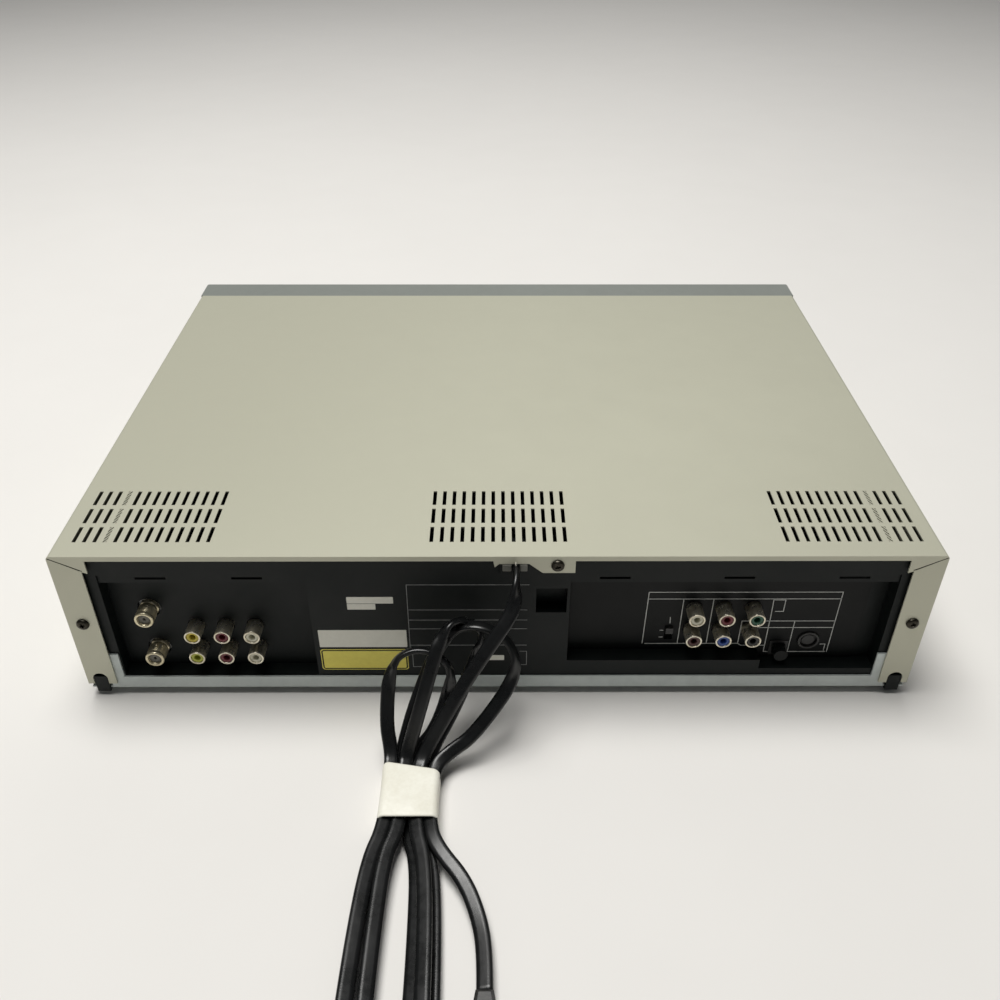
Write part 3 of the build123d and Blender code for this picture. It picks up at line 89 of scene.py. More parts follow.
# %% [markdown]
# ## The mains lead
# A flat two-core lead leaves the notch at the top of the rear panel, falls behind the machine and
# is folded into a hank, held by a white tie. It is one smooth curve, so it is one NURBS spline.
# Its control points are those of the CAD route: seven strands lie side by side in the tie in two
# layers, three loops lean on the rear panel and three lie on the floor beyond the tie.

# %% Sizes of the lead and its hank
cord_w, cord_t = 7.0, 3.2
layer_pitch = 5.5
tie_x, tie_y, tie_l = 41.5, 216.0, 30.0
lower_z = 3.6
upper_z = lower_z + layer_pitch
middle_z = (lower_z + upper_z) / 2
strand_x = {"L": 51.4, "B": 44.8, "A": 38.2, "end": 31.6, "R": 48.1, "Y": 41.5, "X": 34.9}
top_strands = ("L", "B", "A", "end")
lean, lean_r = radians(57.0), 12.0
mouth_y = tie_y - 1.0
waist_y = tie_y + tie_l + 3.0
print("strands in the tie:", len(strand_x))

# %% [markdown]
# ### The loops
# A leaning loop climbs from the tie's mouth on a plane of 57 degrees. Eight of its ten points
# stand a little in front of that plane or behind it, so that no strand runs through another one.
# A floor loop is flat: two shoulders and a half turn.

# %% Half a turn as four points of an octagon
half_turn = [157.5, 112.5, 67.5, 22.5]
octagon = cos(radians(22.5))


def arc_points(half, centre):
    """The half turn of a loop: half its width, and how far along it the turn is centred."""
    reach = half / octagon
    return [(reach * cos(radians(a)), centre + reach * sin(radians(a))) for a in half_turn]


def layer_of(strand):
    """How far a strand lies above the middle of the two layers."""
    return layer_pitch / 2 if strand in top_strands else -layer_pitch / 2


# %% A loop that leans on the rear panel
def on_lean(x, s, w):
    """The point s along the leaning plane and w in front of it."""
    angle = min(max(s, 0) / lean_r, lean)
    straight = s if s < 0 else max(s - lean_r * lean, 0)
    return (x, mouth_y - lean_r * sin(angle) - straight * cos(angle) + w * sin(angle),
            middle_z + lean_r * (1 - cos(angle)) + straight * sin(angle) + w * cos(angle))


def leaning_loop(first, last, half, centre, tilt, fronts, flare=0.12):
    """Control points of a leaning loop, between two strands; flare is how wide it ends."""
    x0, x1 = strand_x[first], strand_x[last]
    root, turn, side = (x0 + x1) / 2, radians(tilt), 1 if x0 > x1 else -1
    shoulder = 0.78 * half
    flat = [(-shoulder, 0.50 * centre), *arc_points(half, centre), (shoulder, 0.50 * centre)]
    leant = [(root - u * side * cos(turn) + v * sin(turn), v * cos(turn) + u * side * sin(turn))
             for u, v in flat]
    points = [on_lean(x0, -2, layer_of(first)),
              on_lean(x0 + 0.12 * (leant[0][0] - x0), 9.0, fronts[0])]
    points += [on_lean(x, s, w) for (x, s), w in zip(leant, fronts[1:-1])]
    points += [on_lean(x1 + flare * (leant[-1][0] - x1), 9.0, fronts[-1]),
               on_lean(x1, -2, layer_of(last))]
    return points


# %% A loop that lies on the floor
def floor_loop(first, last, half, centre):
    """Control points of a loop beyond the tie; each has its share of the step between layers."""
    x0, x1 = strand_x[first], strand_x[last]
    root, side = (x0 + x1) / 2, 1 if x0 < x1 else -1
    neck, shoulder = (0.80 * half, 0.16 * centre), (0.96 * half, 0.55 * centre)
    flat = [(-neck[0], neck[1]), (-shoulder[0], shoulder[1]), *arc_points(half, centre),
            shoulder, neck]
    points = [(x0, waist_y, middle_z + layer_of(first))]
    for t, (u, v) in zip((0.15, 0.30, 0.40, 0.46, 0.54, 0.60, 0.70, 0.85), flat):
        points.append((root + side * u, waist_y + v,
                       middle_z + layer_of(first) * (1 - t) + layer_of(last) * t))
    points.append((x1, waist_y, middle_z + layer_of(last)))
    return points


# %% The whole route, from the notch to the plug
route = [(-8.6, 160.6, 85.3), (-8.6, 168.1, 85.3), (-8.5, 173.4, 80.3), (-6.5, 179.1, 74.6),
         (-0.6, 184.7, 67.6), (7.5, 190.0, 56.8), (16.3, 195.9, 44.4), (24.2, 201.6, 31.7),
         (30.6, 205.8, 20.6), (35.0, 209.6, 13.0), (38.2, 215.4, upper_z), (38.2, 224.0, upper_z)]
floor_loops = [("A", "L", 15.5, 112.0), ("Y", "B", 9.0, 92.0), ("X", "R", 15.6, 104.0)]
leaning_loops = [
    ("L", "Y", 15.8, 44.0, -11.0, (2.9, 3.0, 3.0, 2.3, 2.4, 0.0, -1.0, -2.2)),
    ("B", "X", 10.5, 66.0, -19.0, (3.5, 8.6, 7.6, 0.3, -4.8, -5.6, -7.0, -4.2)),
    ("R", "end", 21.0, 57.0, -29.0, (-3.0, -4.4, -3.4, 3.9, 0.2, 0.0, 1.0, 2.4), 0.42),
]
for on_floor, leaning in zip(floor_loops, leaning_loops):
    route += floor_loop(*on_floor)
    route += leaning_loop(*leaning)
route += [(31.6, 249.0, 9.1), (26.6, 261.0, 9.1), (14.6, 275.0, 7.1), (7.6, 293.0, 5.1),
          (5.6, 309.0, 5.1), (5.6, 323.0, 5.1)]

# %% One smooth line through the route
line = bpy.data.curves.new("lead_line", "CURVE")
line.dimensions = "3D"
spline = line.splines.new("NURBS")
spline.points.add(len(route) - 1)
for point, stop in zip(spline.points, route):
    point.co = (*metres(*stop), 1.0)
spline.order_u = 3
spline.use_endpoint_u = True
spline.resolution_u = 10
line_object = linked("lead_line", line)
bpy.context.view_layer.update()
line_mesh = bpy.data.meshes.new_from_object(line_object)
lead_path = [v.co.copy() for v in line_mesh.vertices]
bpy.data.objects.remove(line_object)

# %% [markdown]
# ### The flat section
# A flat lead bends easily over its broad face and hardly at all over its edge. So in a straight run
# it shows its broad face, and where its loop turns it twists until it stands on edge. The twist is
# found from the path: the sharper it turns within the plane of its loop, the more the section is
# turned. The section has a shallow groove along each face, between the two cores.

# %% The section and its twist
broad_twist, edge_twist = radians(-14), radians(90)
least_bend, bend_span = 0.018, 0.044
level_from, level_over = 206, 20
grip_l, grip_fade = 4, 22


def section_points(count=20):
    """The outline of the flat section in its own plane, in metres."""
    outline = []
    for i in range(count):
        a = 2 * pi * i / count
        u = cos(a) * abs(cos(a)) ** -0.15 if abs(cos(a)) > 1e-6 else 0.0
        v = sin(a) * abs(sin(a)) ** -0.25 if abs(sin(a)) > 1e-6 else 0.0
        groove = 1 - 0.16 * (1 - min(abs(u) / 0.42, 1)) ** 2
        outline.append((u * cord_w / 2 * mm, v * groove * cord_t / 2 * mm))
    return outline


def eased(value):
    """0 to 1 with a soft start and end."""
    value = min(max(value, 0.0), 1.0)
    return value * value * (3 - 2 * value)


def average(entries, values, i, reach):
    """The mean of the values within a reach of the i-th point along the run, by length."""
    total, weight = 0.0, 0.0
    for step in (-1, 1):
        j = i if step == 1 else i - 1
        while 0 < j < len(entries) - 1 and abs(entries[j][0] - entries[i][0]) < reach:
            share = entries[j + 1][0] - entries[j - 1][0]
            total += values[j] * share
            weight += share
            j += step
    return total / weight if weight else values[i]


def frames_along(path):
    """For each point: the run so far, the way ahead, and the broad way of the section."""
    out, run = [], 0.0
    for i, place in enumerate(path):
        ahead = (path[min(i + 1, len(path) - 1)] - path[max(i - 1, 0)]).normalized()
        run += (place - path[i - 1]).length if i else 0.0
        share = eased((place.y - level_from * mm) / (level_over * mm))
        over = Vector((0.0, sin(lean), cos(lean))).lerp(Vector((0.0, 0.0, 1.0)), share)
        level = ahead.cross(over).normalized()
        out.append([run, ahead, level, level.cross(ahead).normalized()])
    turns = [0.0] * len(out)
    for i in range(1, len(out) - 1):
        gap = out[i + 1][0] - out[i - 1][0]
        turns[i] = abs((out[i + 1][1] - out[i - 1][1]).dot(out[i][2])) / gap * mm
    for _ in range(3):
        turns = [average(out, turns, i, 10 * mm) for i in range(len(out))]
    for i, (run, ahead, level, over) in enumerate(out):
        bent = eased((turns[i] - least_bend) / bend_span)
        twist = broad_twist + (edge_twist - broad_twist) * bent
        grip = 1 - eased((run - grip_l * mm) / (grip_fade * mm))
        twist = twist * (1 - grip) + edge_twist * grip
        out[i] = (run, ahead, level * cos(twist) + over * sin(twist))
    return out


# %% From rings of points to a mesh
def bridge(work, first, second, smooth=False):
    """Join two rings of points by a band of quads."""
    faces = []
    for i in range(len(first)):
        j = (i + 1) % len(first)
        faces.append(work.faces.new((first[i], first[j], second[j], second[i])))
        faces[-1].smooth = smooth
    return faces


def mesh_of(work, name):
    """The mesh of a finished piece of work, with its faces turned outwards."""
    bmesh.ops.recalc_face_normals(work, faces=work.faces)
    mesh = bpy.data.meshes.new(name)
    work.to_mesh(mesh)
    work.free()
    return mesh


# %% Flat tube along the lead
def flat_tube(path, outline, name):
    """A closed tube of that outline along the path, with its length and girth as UV."""
    work = bmesh.new()
    uv = work.loops.layers.uv.new("lead_uv")
    rings, runs = [], []
    for place, (run, ahead, wide) in zip(path, frames_along(path)):
        thick = ahead.cross(wide)
        rings.append([work.verts.new(place + wide * u + thick * v) for u, v in outline])
        runs.append(run)
    for i in range(len(rings) - 1):
        for j, face in enumerate(bridge(work, rings[i], rings[i + 1], smooth=True)):
            corners = ((i, j), (i, j + 1), (i + 1, j + 1), (i + 1, j))
            for loop, (r, c) in zip(face.loops, corners):
                loop[uv].uv = (runs[r], c / len(outline))
    work.faces.new(rings[0][::-1])
    work.faces.new(rings[-1])
    return linked(name, mesh_of(work, name))


lead = flat_tube(lead_path, section_points(), "flat_lead")
print("lead faces", len(lead.data.polygons))

# %% [markdown]
# ## Finishes
# Nothing on a real machine has one flat colour. Three effects turn up on nearly every surface, so
# each is a node group, built once: a fine grain from the mould or the paint, a slow change of tone
# from handling and age, and dust that settles on what faces upwards. They only put out colours,
# values and heights; the shader itself stays in each material.


# %% Helpers for every tree of nodes
def new_tree(name, kind, inputs, outputs):
    """An empty tree with sockets (label, kind, value); returns it and its two end nodes."""
    tree = bpy.data.node_groups.new(name, kind)
    for way, sockets in (("INPUT", inputs), ("OUTPUT", outputs)):
        for label, holds, *value in sockets:
            socket = tree.interface.new_socket(label, in_out=way,
                                               socket_type="NodeSocket" + holds)
            if value:
                socket.default_value = value[0]
    return tree, tree.nodes.new("NodeGroupInput"), tree.nodes.new("NodeGroupOutput")


def feed(tree, socket, value):
    """Wire another node's output to a socket, or set the socket to a plain value."""
    if isinstance(value, bpy.types.NodeSocket):
        tree.links.new(value, socket)
    else:
        socket.default_value = value


def feed_by_name(tree, node, **sockets):
    """Feed a node's inputs by name; _ stands for a blank."""
    for label, value in sockets.items():
        feed(tree, node.inputs[label.replace("_", " ")], value)
    return node


def wire(tree, kind, **sockets):
    """A new node with its inputs fed by name."""
    return feed_by_name(tree, tree.nodes.new(kind), **sockets)


def place_in(tree):
    """The piece's own coordinates, which move with it."""
    return tree.nodes.new("ShaderNodeTexCoord").outputs["Object"]


# %% Helpers for values and colours
def noise(tree, place, scale, detail, rough):
    """A noise texture on the given coordinates."""
    return wire(tree, "ShaderNodeTexNoise", Vector=place, Scale=scale, Detail=detail,
                Roughness=rough).outputs["Fac"]


def sum_of(tree, kind, first, second, clamp=False):
    """A math node of two values, each a number or a socket."""
    node = tree.nodes.new("ShaderNodeMath")
    node.operation = kind
    node.use_clamp = clamp
    feed(tree, node.inputs[0], first)
    feed(tree, node.inputs[1], second)
    return node.outputs[0]


def spread(tree, value, low, high, to_low, to_high):
    """Stretch a value's range from low..high to another one, and clamp it."""
    node = tree.nodes.new("ShaderNodeMapRange")
    for socket, number in zip(node.inputs, (value, low, high, to_low, to_high)):
        feed(tree, socket, number)
    return node.outputs[0]


def mixed(tree, share, first, second):
    """Two colours mixed by a value."""
    node = tree.nodes.new("ShaderNodeMix")
    node.data_type = "RGBA"
    for i, value in ((0, share), (6, first), (7, second)):
        feed(tree, node.inputs[i], value)
    return node.outputs[2]


# %% The three effects: grain
grain, ins, outs = new_tree(
    "moulded_grain", "ShaderNodeTree",
    [("Grains per metre", "Float", 1500.0), ("Unevenness per metre", "Float", 60.0)],
    [("Height", "Float")])
fine = noise(grain, place_in(grain), ins.outputs["Grains per metre"], 2.0, 0.6)
slow = noise(grain, place_in(grain), ins.outputs["Unevenness per metre"], 3.0, 0.5)
height = sum_of(grain, "ADD", fine, sum_of(grain, "MULTIPLY", slow, 0.6))
feed_by_name(grain, outs, Height=height)

# %% Tone
ageing, ins, outs = new_tree(
    "handled_tone", "ShaderNodeTree",
    [("Clean", "Color", (0.5, 0.5, 0.5, 1)), ("Aged", "Color", (0.4, 0.4, 0.4, 1)),
     ("Smooth", "Float", 0.35), ("Dull", "Float", 0.5), ("Patches per metre", "Float", 14.0)],
    [("Colour", "Color"), ("Roughness", "Float")])
per_metre = ins.outputs["Patches per metre"]
patches = noise(ageing, place_in(ageing), per_metre, 5.0, 0.62)
streaks = noise(ageing, place_in(ageing), sum_of(ageing, "MULTIPLY", per_metre, 9.0), 2.0, 0.5)
tone = sum_of(ageing, "ADD", sum_of(ageing, "MULTIPLY", patches, 0.75),
              sum_of(ageing, "MULTIPLY", streaks, 0.25))
tone = spread(ageing, tone, 0.36, 0.64, 0.0, 1.0)
feed_by_name(
    ageing, outs, Colour=mixed(ageing, tone, ins.outputs["Clean"], ins.outputs["Aged"]),
    Roughness=spread(ageing, tone, 0.0, 1.0, ins.outputs["Smooth"], ins.outputs["Dull"]))

# %% Dust
dust, ins, outs = new_tree(
    "settled_dust", "ShaderNodeTree",
    [("Colour", "Color", (0.5, 0.5, 0.5, 1)), ("Dust", "Color", (0.42, 0.40, 0.36, 1)),
     ("Amount", "Float", 0.15), ("Roughness", "Float", 0.4)],
    [("Colour", "Color"), ("Roughness", "Float")])
facing = wire(dust, "ShaderNodeSeparateXYZ",
              Vector=dust.nodes.new("ShaderNodeNewGeometry").outputs["Normal"])
lying = spread(dust, facing.outputs["Z"], 0.2, 1.0, 0.15, 1.0)
specks = spread(dust, noise(dust, place_in(dust), 420.0, 4.0, 0.7), 0.42, 0.62, 0.25, 1.0)
dusted = sum_of(dust, "MULTIPLY", sum_of(dust, "MULTIPLY", lying, specks), ins.outputs["Amount"],
                clamp=True)
feed_by_name(
    dust, outs, Colour=mixed(dust, dusted, ins.outputs["Colour"], ins.outputs["Dust"]),
    Roughness=sum_of(dust, "ADD", ins.outputs["Roughness"],
                     sum_of(dust, "MULTIPLY", dusted, 0.5), clamp=True))
print("groups", [tree.name for tree in bpy.data.node_groups])

# %% [markdown]
# ### A finish from the three effects
# Most pieces differ only in colour, gloss, metal or plastic, and in how coarse their grain is.
# One function therefore wires the groups to a Principled shader with the piece's own values;
# the few finishes that need more are painted over afterwards.

# %% Make a finish
grain_depth = 0.0004


def grey(level):
    """A linear grey."""
    return (level, level, level)


def group_in(tree, group, **values):
    """One of the effects, placed in a material with its own values."""
    node = tree.nodes.new("ShaderNodeGroup")
    node.node_tree = group
    return feed_by_name(tree, node, **values)


def finish(name, clean, aged=None, smooth=0.35, dull=0.5, metal=0.0, grains=1500.0, bump=0.08,
           patches=14.0, dusty=0.08, coat=0.0, uneven=60.0, shine=0.5):
    """A material of the three effects."""
    aged = aged or tuple(0.86 * v for v in clean)
    material = bpy.data.materials.new(name)
    material.use_nodes = True
    tree = material.node_tree
    tone = group_in(tree, ageing, Clean=(*clean, 1), Aged=(*aged, 1), Smooth=smooth, Dull=dull,
                    Patches_per_metre=patches)
    layer = group_in(tree, dust, Colour=tone.outputs["Colour"], Amount=dusty,
                     Roughness=tone.outputs["Roughness"])
    texture = group_in(tree, grain, Grains_per_metre=grains, Unevenness_per_metre=uneven)
    relief = wire(tree, "ShaderNodeBump", Strength=bump, Distance=grain_depth,
                  Height=texture.outputs["Height"])
    feed_by_name(tree, tree.nodes["Principled BSDF"], Base_Color=layer.outputs["Colour"],
                 Roughness=layer.outputs["Roughness"], Metallic=metal, Coat_Weight=coat,
                 Specular_IOR_Level=shine, Normal=relief.outputs["Normal"])
    return material


def paint_over(material, colour_of):
    """Put a pattern between tone and dust: colour_of(tree, colour) gives the new colour."""
    tree = material.node_tree
    layer = next(n for n in tree.nodes if n.type == "GROUP" and n.node_tree == dust)
    link = layer.inputs["Colour"].links[0]
    source = link.from_socket
    tree.links.remove(link)
    tree.links.new(colour_of(tree, source), layer.inputs["Colour"])
    return material


# %% Finishes of the case
cover_paint = finish("cover_paint", (0.535, 0.53, 0.42), (0.505, 0.50, 0.397), 0.32, 0.40,
                     metal=0.30, grains=5200.0, bump=0.10, patches=5.0, dusty=0.02, uneven=9.0)
plate_zinc = finish("plate_zinc", (0.58, 0.63, 0.61), (0.50, 0.54, 0.525), 0.32, 0.5, metal=0.25,
                    grains=2600.0, bump=0.06, patches=30.0, dusty=0.06)
panel_black = finish("panel_black", (0.0022, 0.0042, 0.0040), (0.0036, 0.0062, 0.0058), 0.42, 0.56,
                     grains=3600.0, bump=0.16, patches=20.0, dusty=0.006, shine=0.22)
jack_plate_black = finish("jack_plate_black", (0.0010, 0.0018, 0.0018), (0.0018, 0.0028, 0.0028),
                          0.4, 0.5, grains=4200.0, bump=0.10, patches=26.0, dusty=0.004,
                          shine=0.18)
fascia_silver = finish("fascia_silver", (0.245, 0.262, 0.242), (0.215, 0.23, 0.212), 0.34, 0.46,
                       metal=0.2, grains=5200.0, bump=0.05, patches=9.0, dusty=0.04)
foot_black = finish("foot_black", grey(0.016), grey(0.024), 0.5, 0.65, grains=1800.0, bump=0.2)
pad_felt = finish("pad_felt", grey(0.05), grey(0.03), 0.9, 0.97, grains=3000.0, bump=0.9)

# %% Finishes of jacks, screws and the lead
screw_steel = finish("screw_steel", (0.06, 0.054, 0.043), (0.028, 0.026, 0.021), 0.26, 0.42,
                     metal=1.0, grains=2200.0, bump=0.08, patches=160.0, dusty=0.02)
jack_nickel = finish("jack_nickel", (0.80, 0.76, 0.64), (0.60, 0.54, 0.40), 0.2, 0.38, metal=0.85,
                     grains=2600.0, bump=0.05, patches=190.0, dusty=0.05)
socket_black = finish("socket_black", grey(0.012), grey(0.018), 0.34, 0.5, grains=3000.0)
lead_vinyl = finish("lead_vinyl", (0.0022, 0.0026, 0.0028), (0.0042, 0.0047, 0.0050), 0.22, 0.36,
                    grains=1400.0, bump=0.05, patches=40.0, dusty=0.006)
tie_white = finish("tie_white", (0.86, 0.85, 0.76), (0.76, 0.74, 0.64), 0.42, 0.6, grains=1300.0,
                   bump=0.14, patches=60.0, dusty=0.0)

# %% Finishes of the works inside and of the front
shaft_steel = finish("shaft_steel", grey(0.62), grey(0.5), 0.18, 0.3, metal=1.0, grains=2600.0,
                     bump=0.04)
drum_metal = finish("drum_metal", (0.74, 0.75, 0.77), (0.66, 0.67, 0.69), 0.14, 0.24, metal=1.0,
                    grains=2600.0, bump=0.03)
deck_steel = finish("deck_steel", (0.55, 0.56, 0.56), (0.42, 0.43, 0.43), 0.3, 0.44, metal=0.9,
                    grains=2600.0, bump=0.05, patches=26.0)
reel_plastic = finish("reel_plastic", (0.72, 0.72, 0.68), (0.62, 0.61, 0.56), 0.35, 0.5)
loader_plastic = finish("loader_plastic", grey(0.024), grey(0.034), 0.4, 0.55, grains=2400.0,
                        bump=0.14)
tray_plastic = finish("tray_plastic", grey(0.05), grey(0.064), 0.36, 0.5, grains=2600.0, bump=0.12)
turntable_plastic = finish("turntable_plastic", grey(0.018), grey(0.026), 0.3, 0.45)
roller_rubber = finish("roller_rubber", grey(0.022), grey(0.034), 0.6, 0.75, grains=3200.0,
                       bump=0.2)
button_silver = finish("button_silver", (0.42, 0.43, 0.43), (0.36, 0.37, 0.37), 0.28, 0.42,
                       metal=0.3, grains=4200.0, bump=0.04)
window_dark = finish("window_dark", (0.006, 0.006, 0.009), (0.009, 0.009, 0.012), 0.05, 0.12,
                     bump=0.01, dusty=0.03, coat=0.5)
gear_white = finish("gear_white", (0.78, 0.76, 0.70), (0.70, 0.68, 0.61), 0.32, 0.45)
print("finishes", len(bpy.data.materials))

# %% [markdown]
# ### Patterns that the three effects do not give
# A circuit board shows the pale lines of its tracks through the lacquer, and the parts on it are
# dark: they are told by their height. The plug's blades are bare metal: they are told by how far
# along the plug they are.


# %% Colour beyond a height or a length
def beyond(tree, place, axis, limit, colour, other):
    """The colour up to a limit (mm) along an axis, and the other one beyond it."""
    split = wire(tree, "ShaderNodeSeparateXYZ", Vector=place)
    past = sum_of(tree, "GREATER_THAN", split.outputs[axis], limit * mm)
    return mixed(tree, past, colour, (*other, 1))


def board_pattern(part_colour, top_z=13.75):
    """A colouring for a board: tracks on it, and parts that stand higher than its top."""
    def colour_of(tree, colour):
        place = place_in(tree)
        tracks = wire(tree, "ShaderNodeTexBrick", Vector=place, Color1=(0, 0, 0, 1),
                      Color2=(0.15, 0.15, 0.15, 1), Mortar=(1, 1, 1, 1), Scale=150.0,
                      Mortar_Size=0.03)
        tracks.offset = 0.37
        tracks.squash = 0.6
        traced = mixed(tree, tracks.outputs["Color"], colour, (0.16, 0.36, 0.16, 1))
        return beyond(tree, place, "Z", top_z, traced, part_colour)
    return colour_of


def blade_pattern(body_end_y, blade_colour):
    """A colouring for the plug: its blades, beyond the end of the body, are bare metal."""
    return lambda tree, colour: beyond(tree, place_in(tree), "Y", body_end_y, colour, blade_colour)


main_board_green = paint_over(finish("main_board_green", (0.035, 0.16, 0.07), dusty=0.12),
                              board_pattern(grey(0.02)))
supply_board_tan = paint_over(finish("supply_board_tan", (0.30, 0.20, 0.09), dusty=0.14),
                              board_pattern((0.10, 0.09, 0.05)))
plug_body_end = waist_y + 100.2
plug_black = paint_over(finish("plug_black", grey(0.012), grey(0.018), 0.3, 0.45, grains=2600.0),
                        blade_pattern(plug_body_end, (0.62, 0.57, 0.42)))
print("boards and plug done")

# %% Put a finish on each CAD node
buttons = [name for name in nodes if name.endswith("_button")]
for material, names in (
    (cover_paint, ["top_cover"]),
    (plate_zinc, ["bottom_plate"]),
    (panel_black, ["rear_panel", "strain_relief"]),
    (jack_plate_black, ["dvd_jack_plate", "optical_cap"]),
    (fascia_silver, ["front_fascia", "cassette_door", "tray_bezel"]),
    (foot_black, ["feet"]),
    (pad_felt, ["foot_pads"]),
    (screw_steel, ["cover_screws"]),
    (jack_nickel, ["rca_shells", "rf_connectors"]),
    (socket_black, ["rca_inserts", "jack_blocks", "front_av_jacks", "video_switch"]),
    (plug_black, ["power_plug"]),
    (deck_steel, ["tuner", "deck_chassis", "drum_base", "cassette_housing", "lift_frame",
                  "cassette_basket", "clamp_bridge"]),
    (main_board_green, ["main_board", "dvd_board", "front_board"]),
    (supply_board_tan, ["power_board"]),
    (drum_metal, ["head_drum"]),
    (shaft_steel, ["capstan", "pinch_arm"]),
    (reel_plastic, ["supply_reel", "takeup_reel"]),
    (roller_rubber, ["pinch_roller"]),
    (loader_plastic, ["loader_frame", "traverse"]),
    (tray_plastic, ["disc_tray"]),
    (turntable_plastic, ["turntable", "pickup", "clamp_puck"]),
    (gear_white, ["tray_gear", "feed_gear"]),
    (window_dark, ["display_window"]),
    (button_silver, buttons),
    (tie_white, ["cord_tie"]),
):
    for name in names:
        for socket in nodes[name].material_slots:
            socket.material = material
print("dressed", len(nodes), "nodes,", len(buttons), "of them buttons")

# %% The lead's own finish, and what it stands for
lead.data.materials.append(lead_vinyl)
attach(lead, "case")
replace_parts(lead, "power_cord", "cord_hank")

# %% [markdown]
# ## Bars in the vents
# In each outer group the fourth column from the side is not open: thin slanting bars of the sheet
# cross its slots. One bar repeats, so Geometry Nodes suit it: a line of turned bars makes one slot,
# and a copy of that line stands on each slot's middle. Small helpers begin and end such a tree,
# run it on loose points and make a plain piece of the case from what it gives.


# %% Make a mesh a piece of the case
def made_plain(thing):
    """The object's mesh with its modifiers applied; the object itself is removed."""
    mesh = bpy.data.meshes.new_from_object(
        thing.evaluated_get(bpy.context.evaluated_depsgraph_get()))
    bpy.data.objects.remove(thing)
    return mesh


def seated(name, mesh, material):
    """A piece that rides on the case, with its finish."""
    if not mesh.materials:
        mesh.materials.append(material)
    piece = linked(name, mesh)
    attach(piece, "case")
    print(name, "faces", len(mesh.polygons))
    return piece


# %% Begin, end and run a tree of nodes
def growing_tree(name, inputs):
    """An empty Geometry Nodes tree with named inputs, the points first and the material last."""
    return new_tree(name, "GeometryNodeTree",
                    [("Geometry", "Geometry"), *inputs, ("Material", "Material")],
                    [("Geometry", "Geometry")])


def stand_on_points(tree, ins, outs, **piece):
    """End a tree: stand the piece on each point, make the copies real and give the material."""
    copies = wire(tree, "GeometryNodeInstanceOnPoints", Points=ins.outputs["Geometry"], **piece)
    real = wire(tree, "GeometryNodeRealizeInstances", Geometry=copies.outputs[0])
    made = wire(tree, "GeometryNodeSetMaterial", Geometry=real.outputs[0],
                Material=ins.outputs["Material"])
    feed_by_name(tree, outs, Geometry=made.outputs[0])


def grow(name, tree, points, material, slot, **values):
    """Run the tree on the points (mm), and seat the plain result."""
    seeds = bpy.data.meshes.new(name + "_seeds")
    seeds.from_pydata([metres(*point) for point in points], [], [])
    holder = linked(name + "_seeds", seeds)
    modifier = holder.modifiers.new("grow", "NODES")
    modifier.node_group = tree
    settings = {label.replace("_", " "): value for label, value in values.items()}
    settings["Material"] = material
    for item in tree.interface.items_tree:
        if item.in_out == "INPUT" and item.name in settings:
            modifier[item.identifier] = settings[item.name]
    return seated(name, made_plain(holder), material)


# %% The tree of slanting bars
bars, ins, outs = growing_tree("slot_bars", [
    ("Bar Length", "Float", 0.002), ("Bar Width", "Float", 0.0008), ("Sheet", "Float", 0.0008),
    ("Pitch", "Float", 0.0024), ("Count", "Int", 5), ("Turn", "Float", 0.5)])
pitches_to_first = -2.0


def three_values(tree, **values):
    """Single values joined to a vector."""
    return wire(tree, "ShaderNodeCombineXYZ", **values).outputs[0]


bar = wire(bars, "GeometryNodeMeshCube", Size=three_values(
    bars, X=ins.outputs["Bar Length"], Y=ins.outputs["Bar Width"], Z=ins.outputs["Sheet"]))
first_y = sum_of(bars, "MULTIPLY", ins.outputs["Pitch"], pitches_to_first)
row = wire(bars, "GeometryNodeMeshLine", Count=ins.outputs["Count"],
           Start_Location=three_values(bars, Y=first_y),
           Offset=three_values(bars, Y=ins.outputs["Pitch"]))
one_slot = wire(bars, "GeometryNodeInstanceOnPoints", Points=row.outputs["Mesh"],
                Instance=bar.outputs["Mesh"], Rotation=three_values(bars, Z=ins.outputs["Turn"]))
stand_on_points(bars, ins, outs, Instance=one_slot.outputs[0])

# %% Bars in both outer groups
rear_fold_y, cover_top_z, sheet_middle = 161.0, 94.0, 0.4
first_row, row_pitch, rows = 17.4, 15.25, 3
group_x, group_half, column_pitch = 173.0, 32.5, 5.0
column_x = group_x + group_half - 3 * column_pitch
for label, side in (("recorder", 1), ("disc", -1)):
    grow(f"vent_bars_{label}_side", bars,
         [(side * column_x, rear_fold_y - first_row - row_pitch * i, cover_top_z - sheet_middle)
          for i in range(rows)], cover_paint, "cover_paint",
         Bar_Length=4.6 * mm, Bar_Width=0.62 * mm, Sheet=0.7 * mm, Pitch=2.9 * mm, Count=5,
         Turn=side * 1.1)
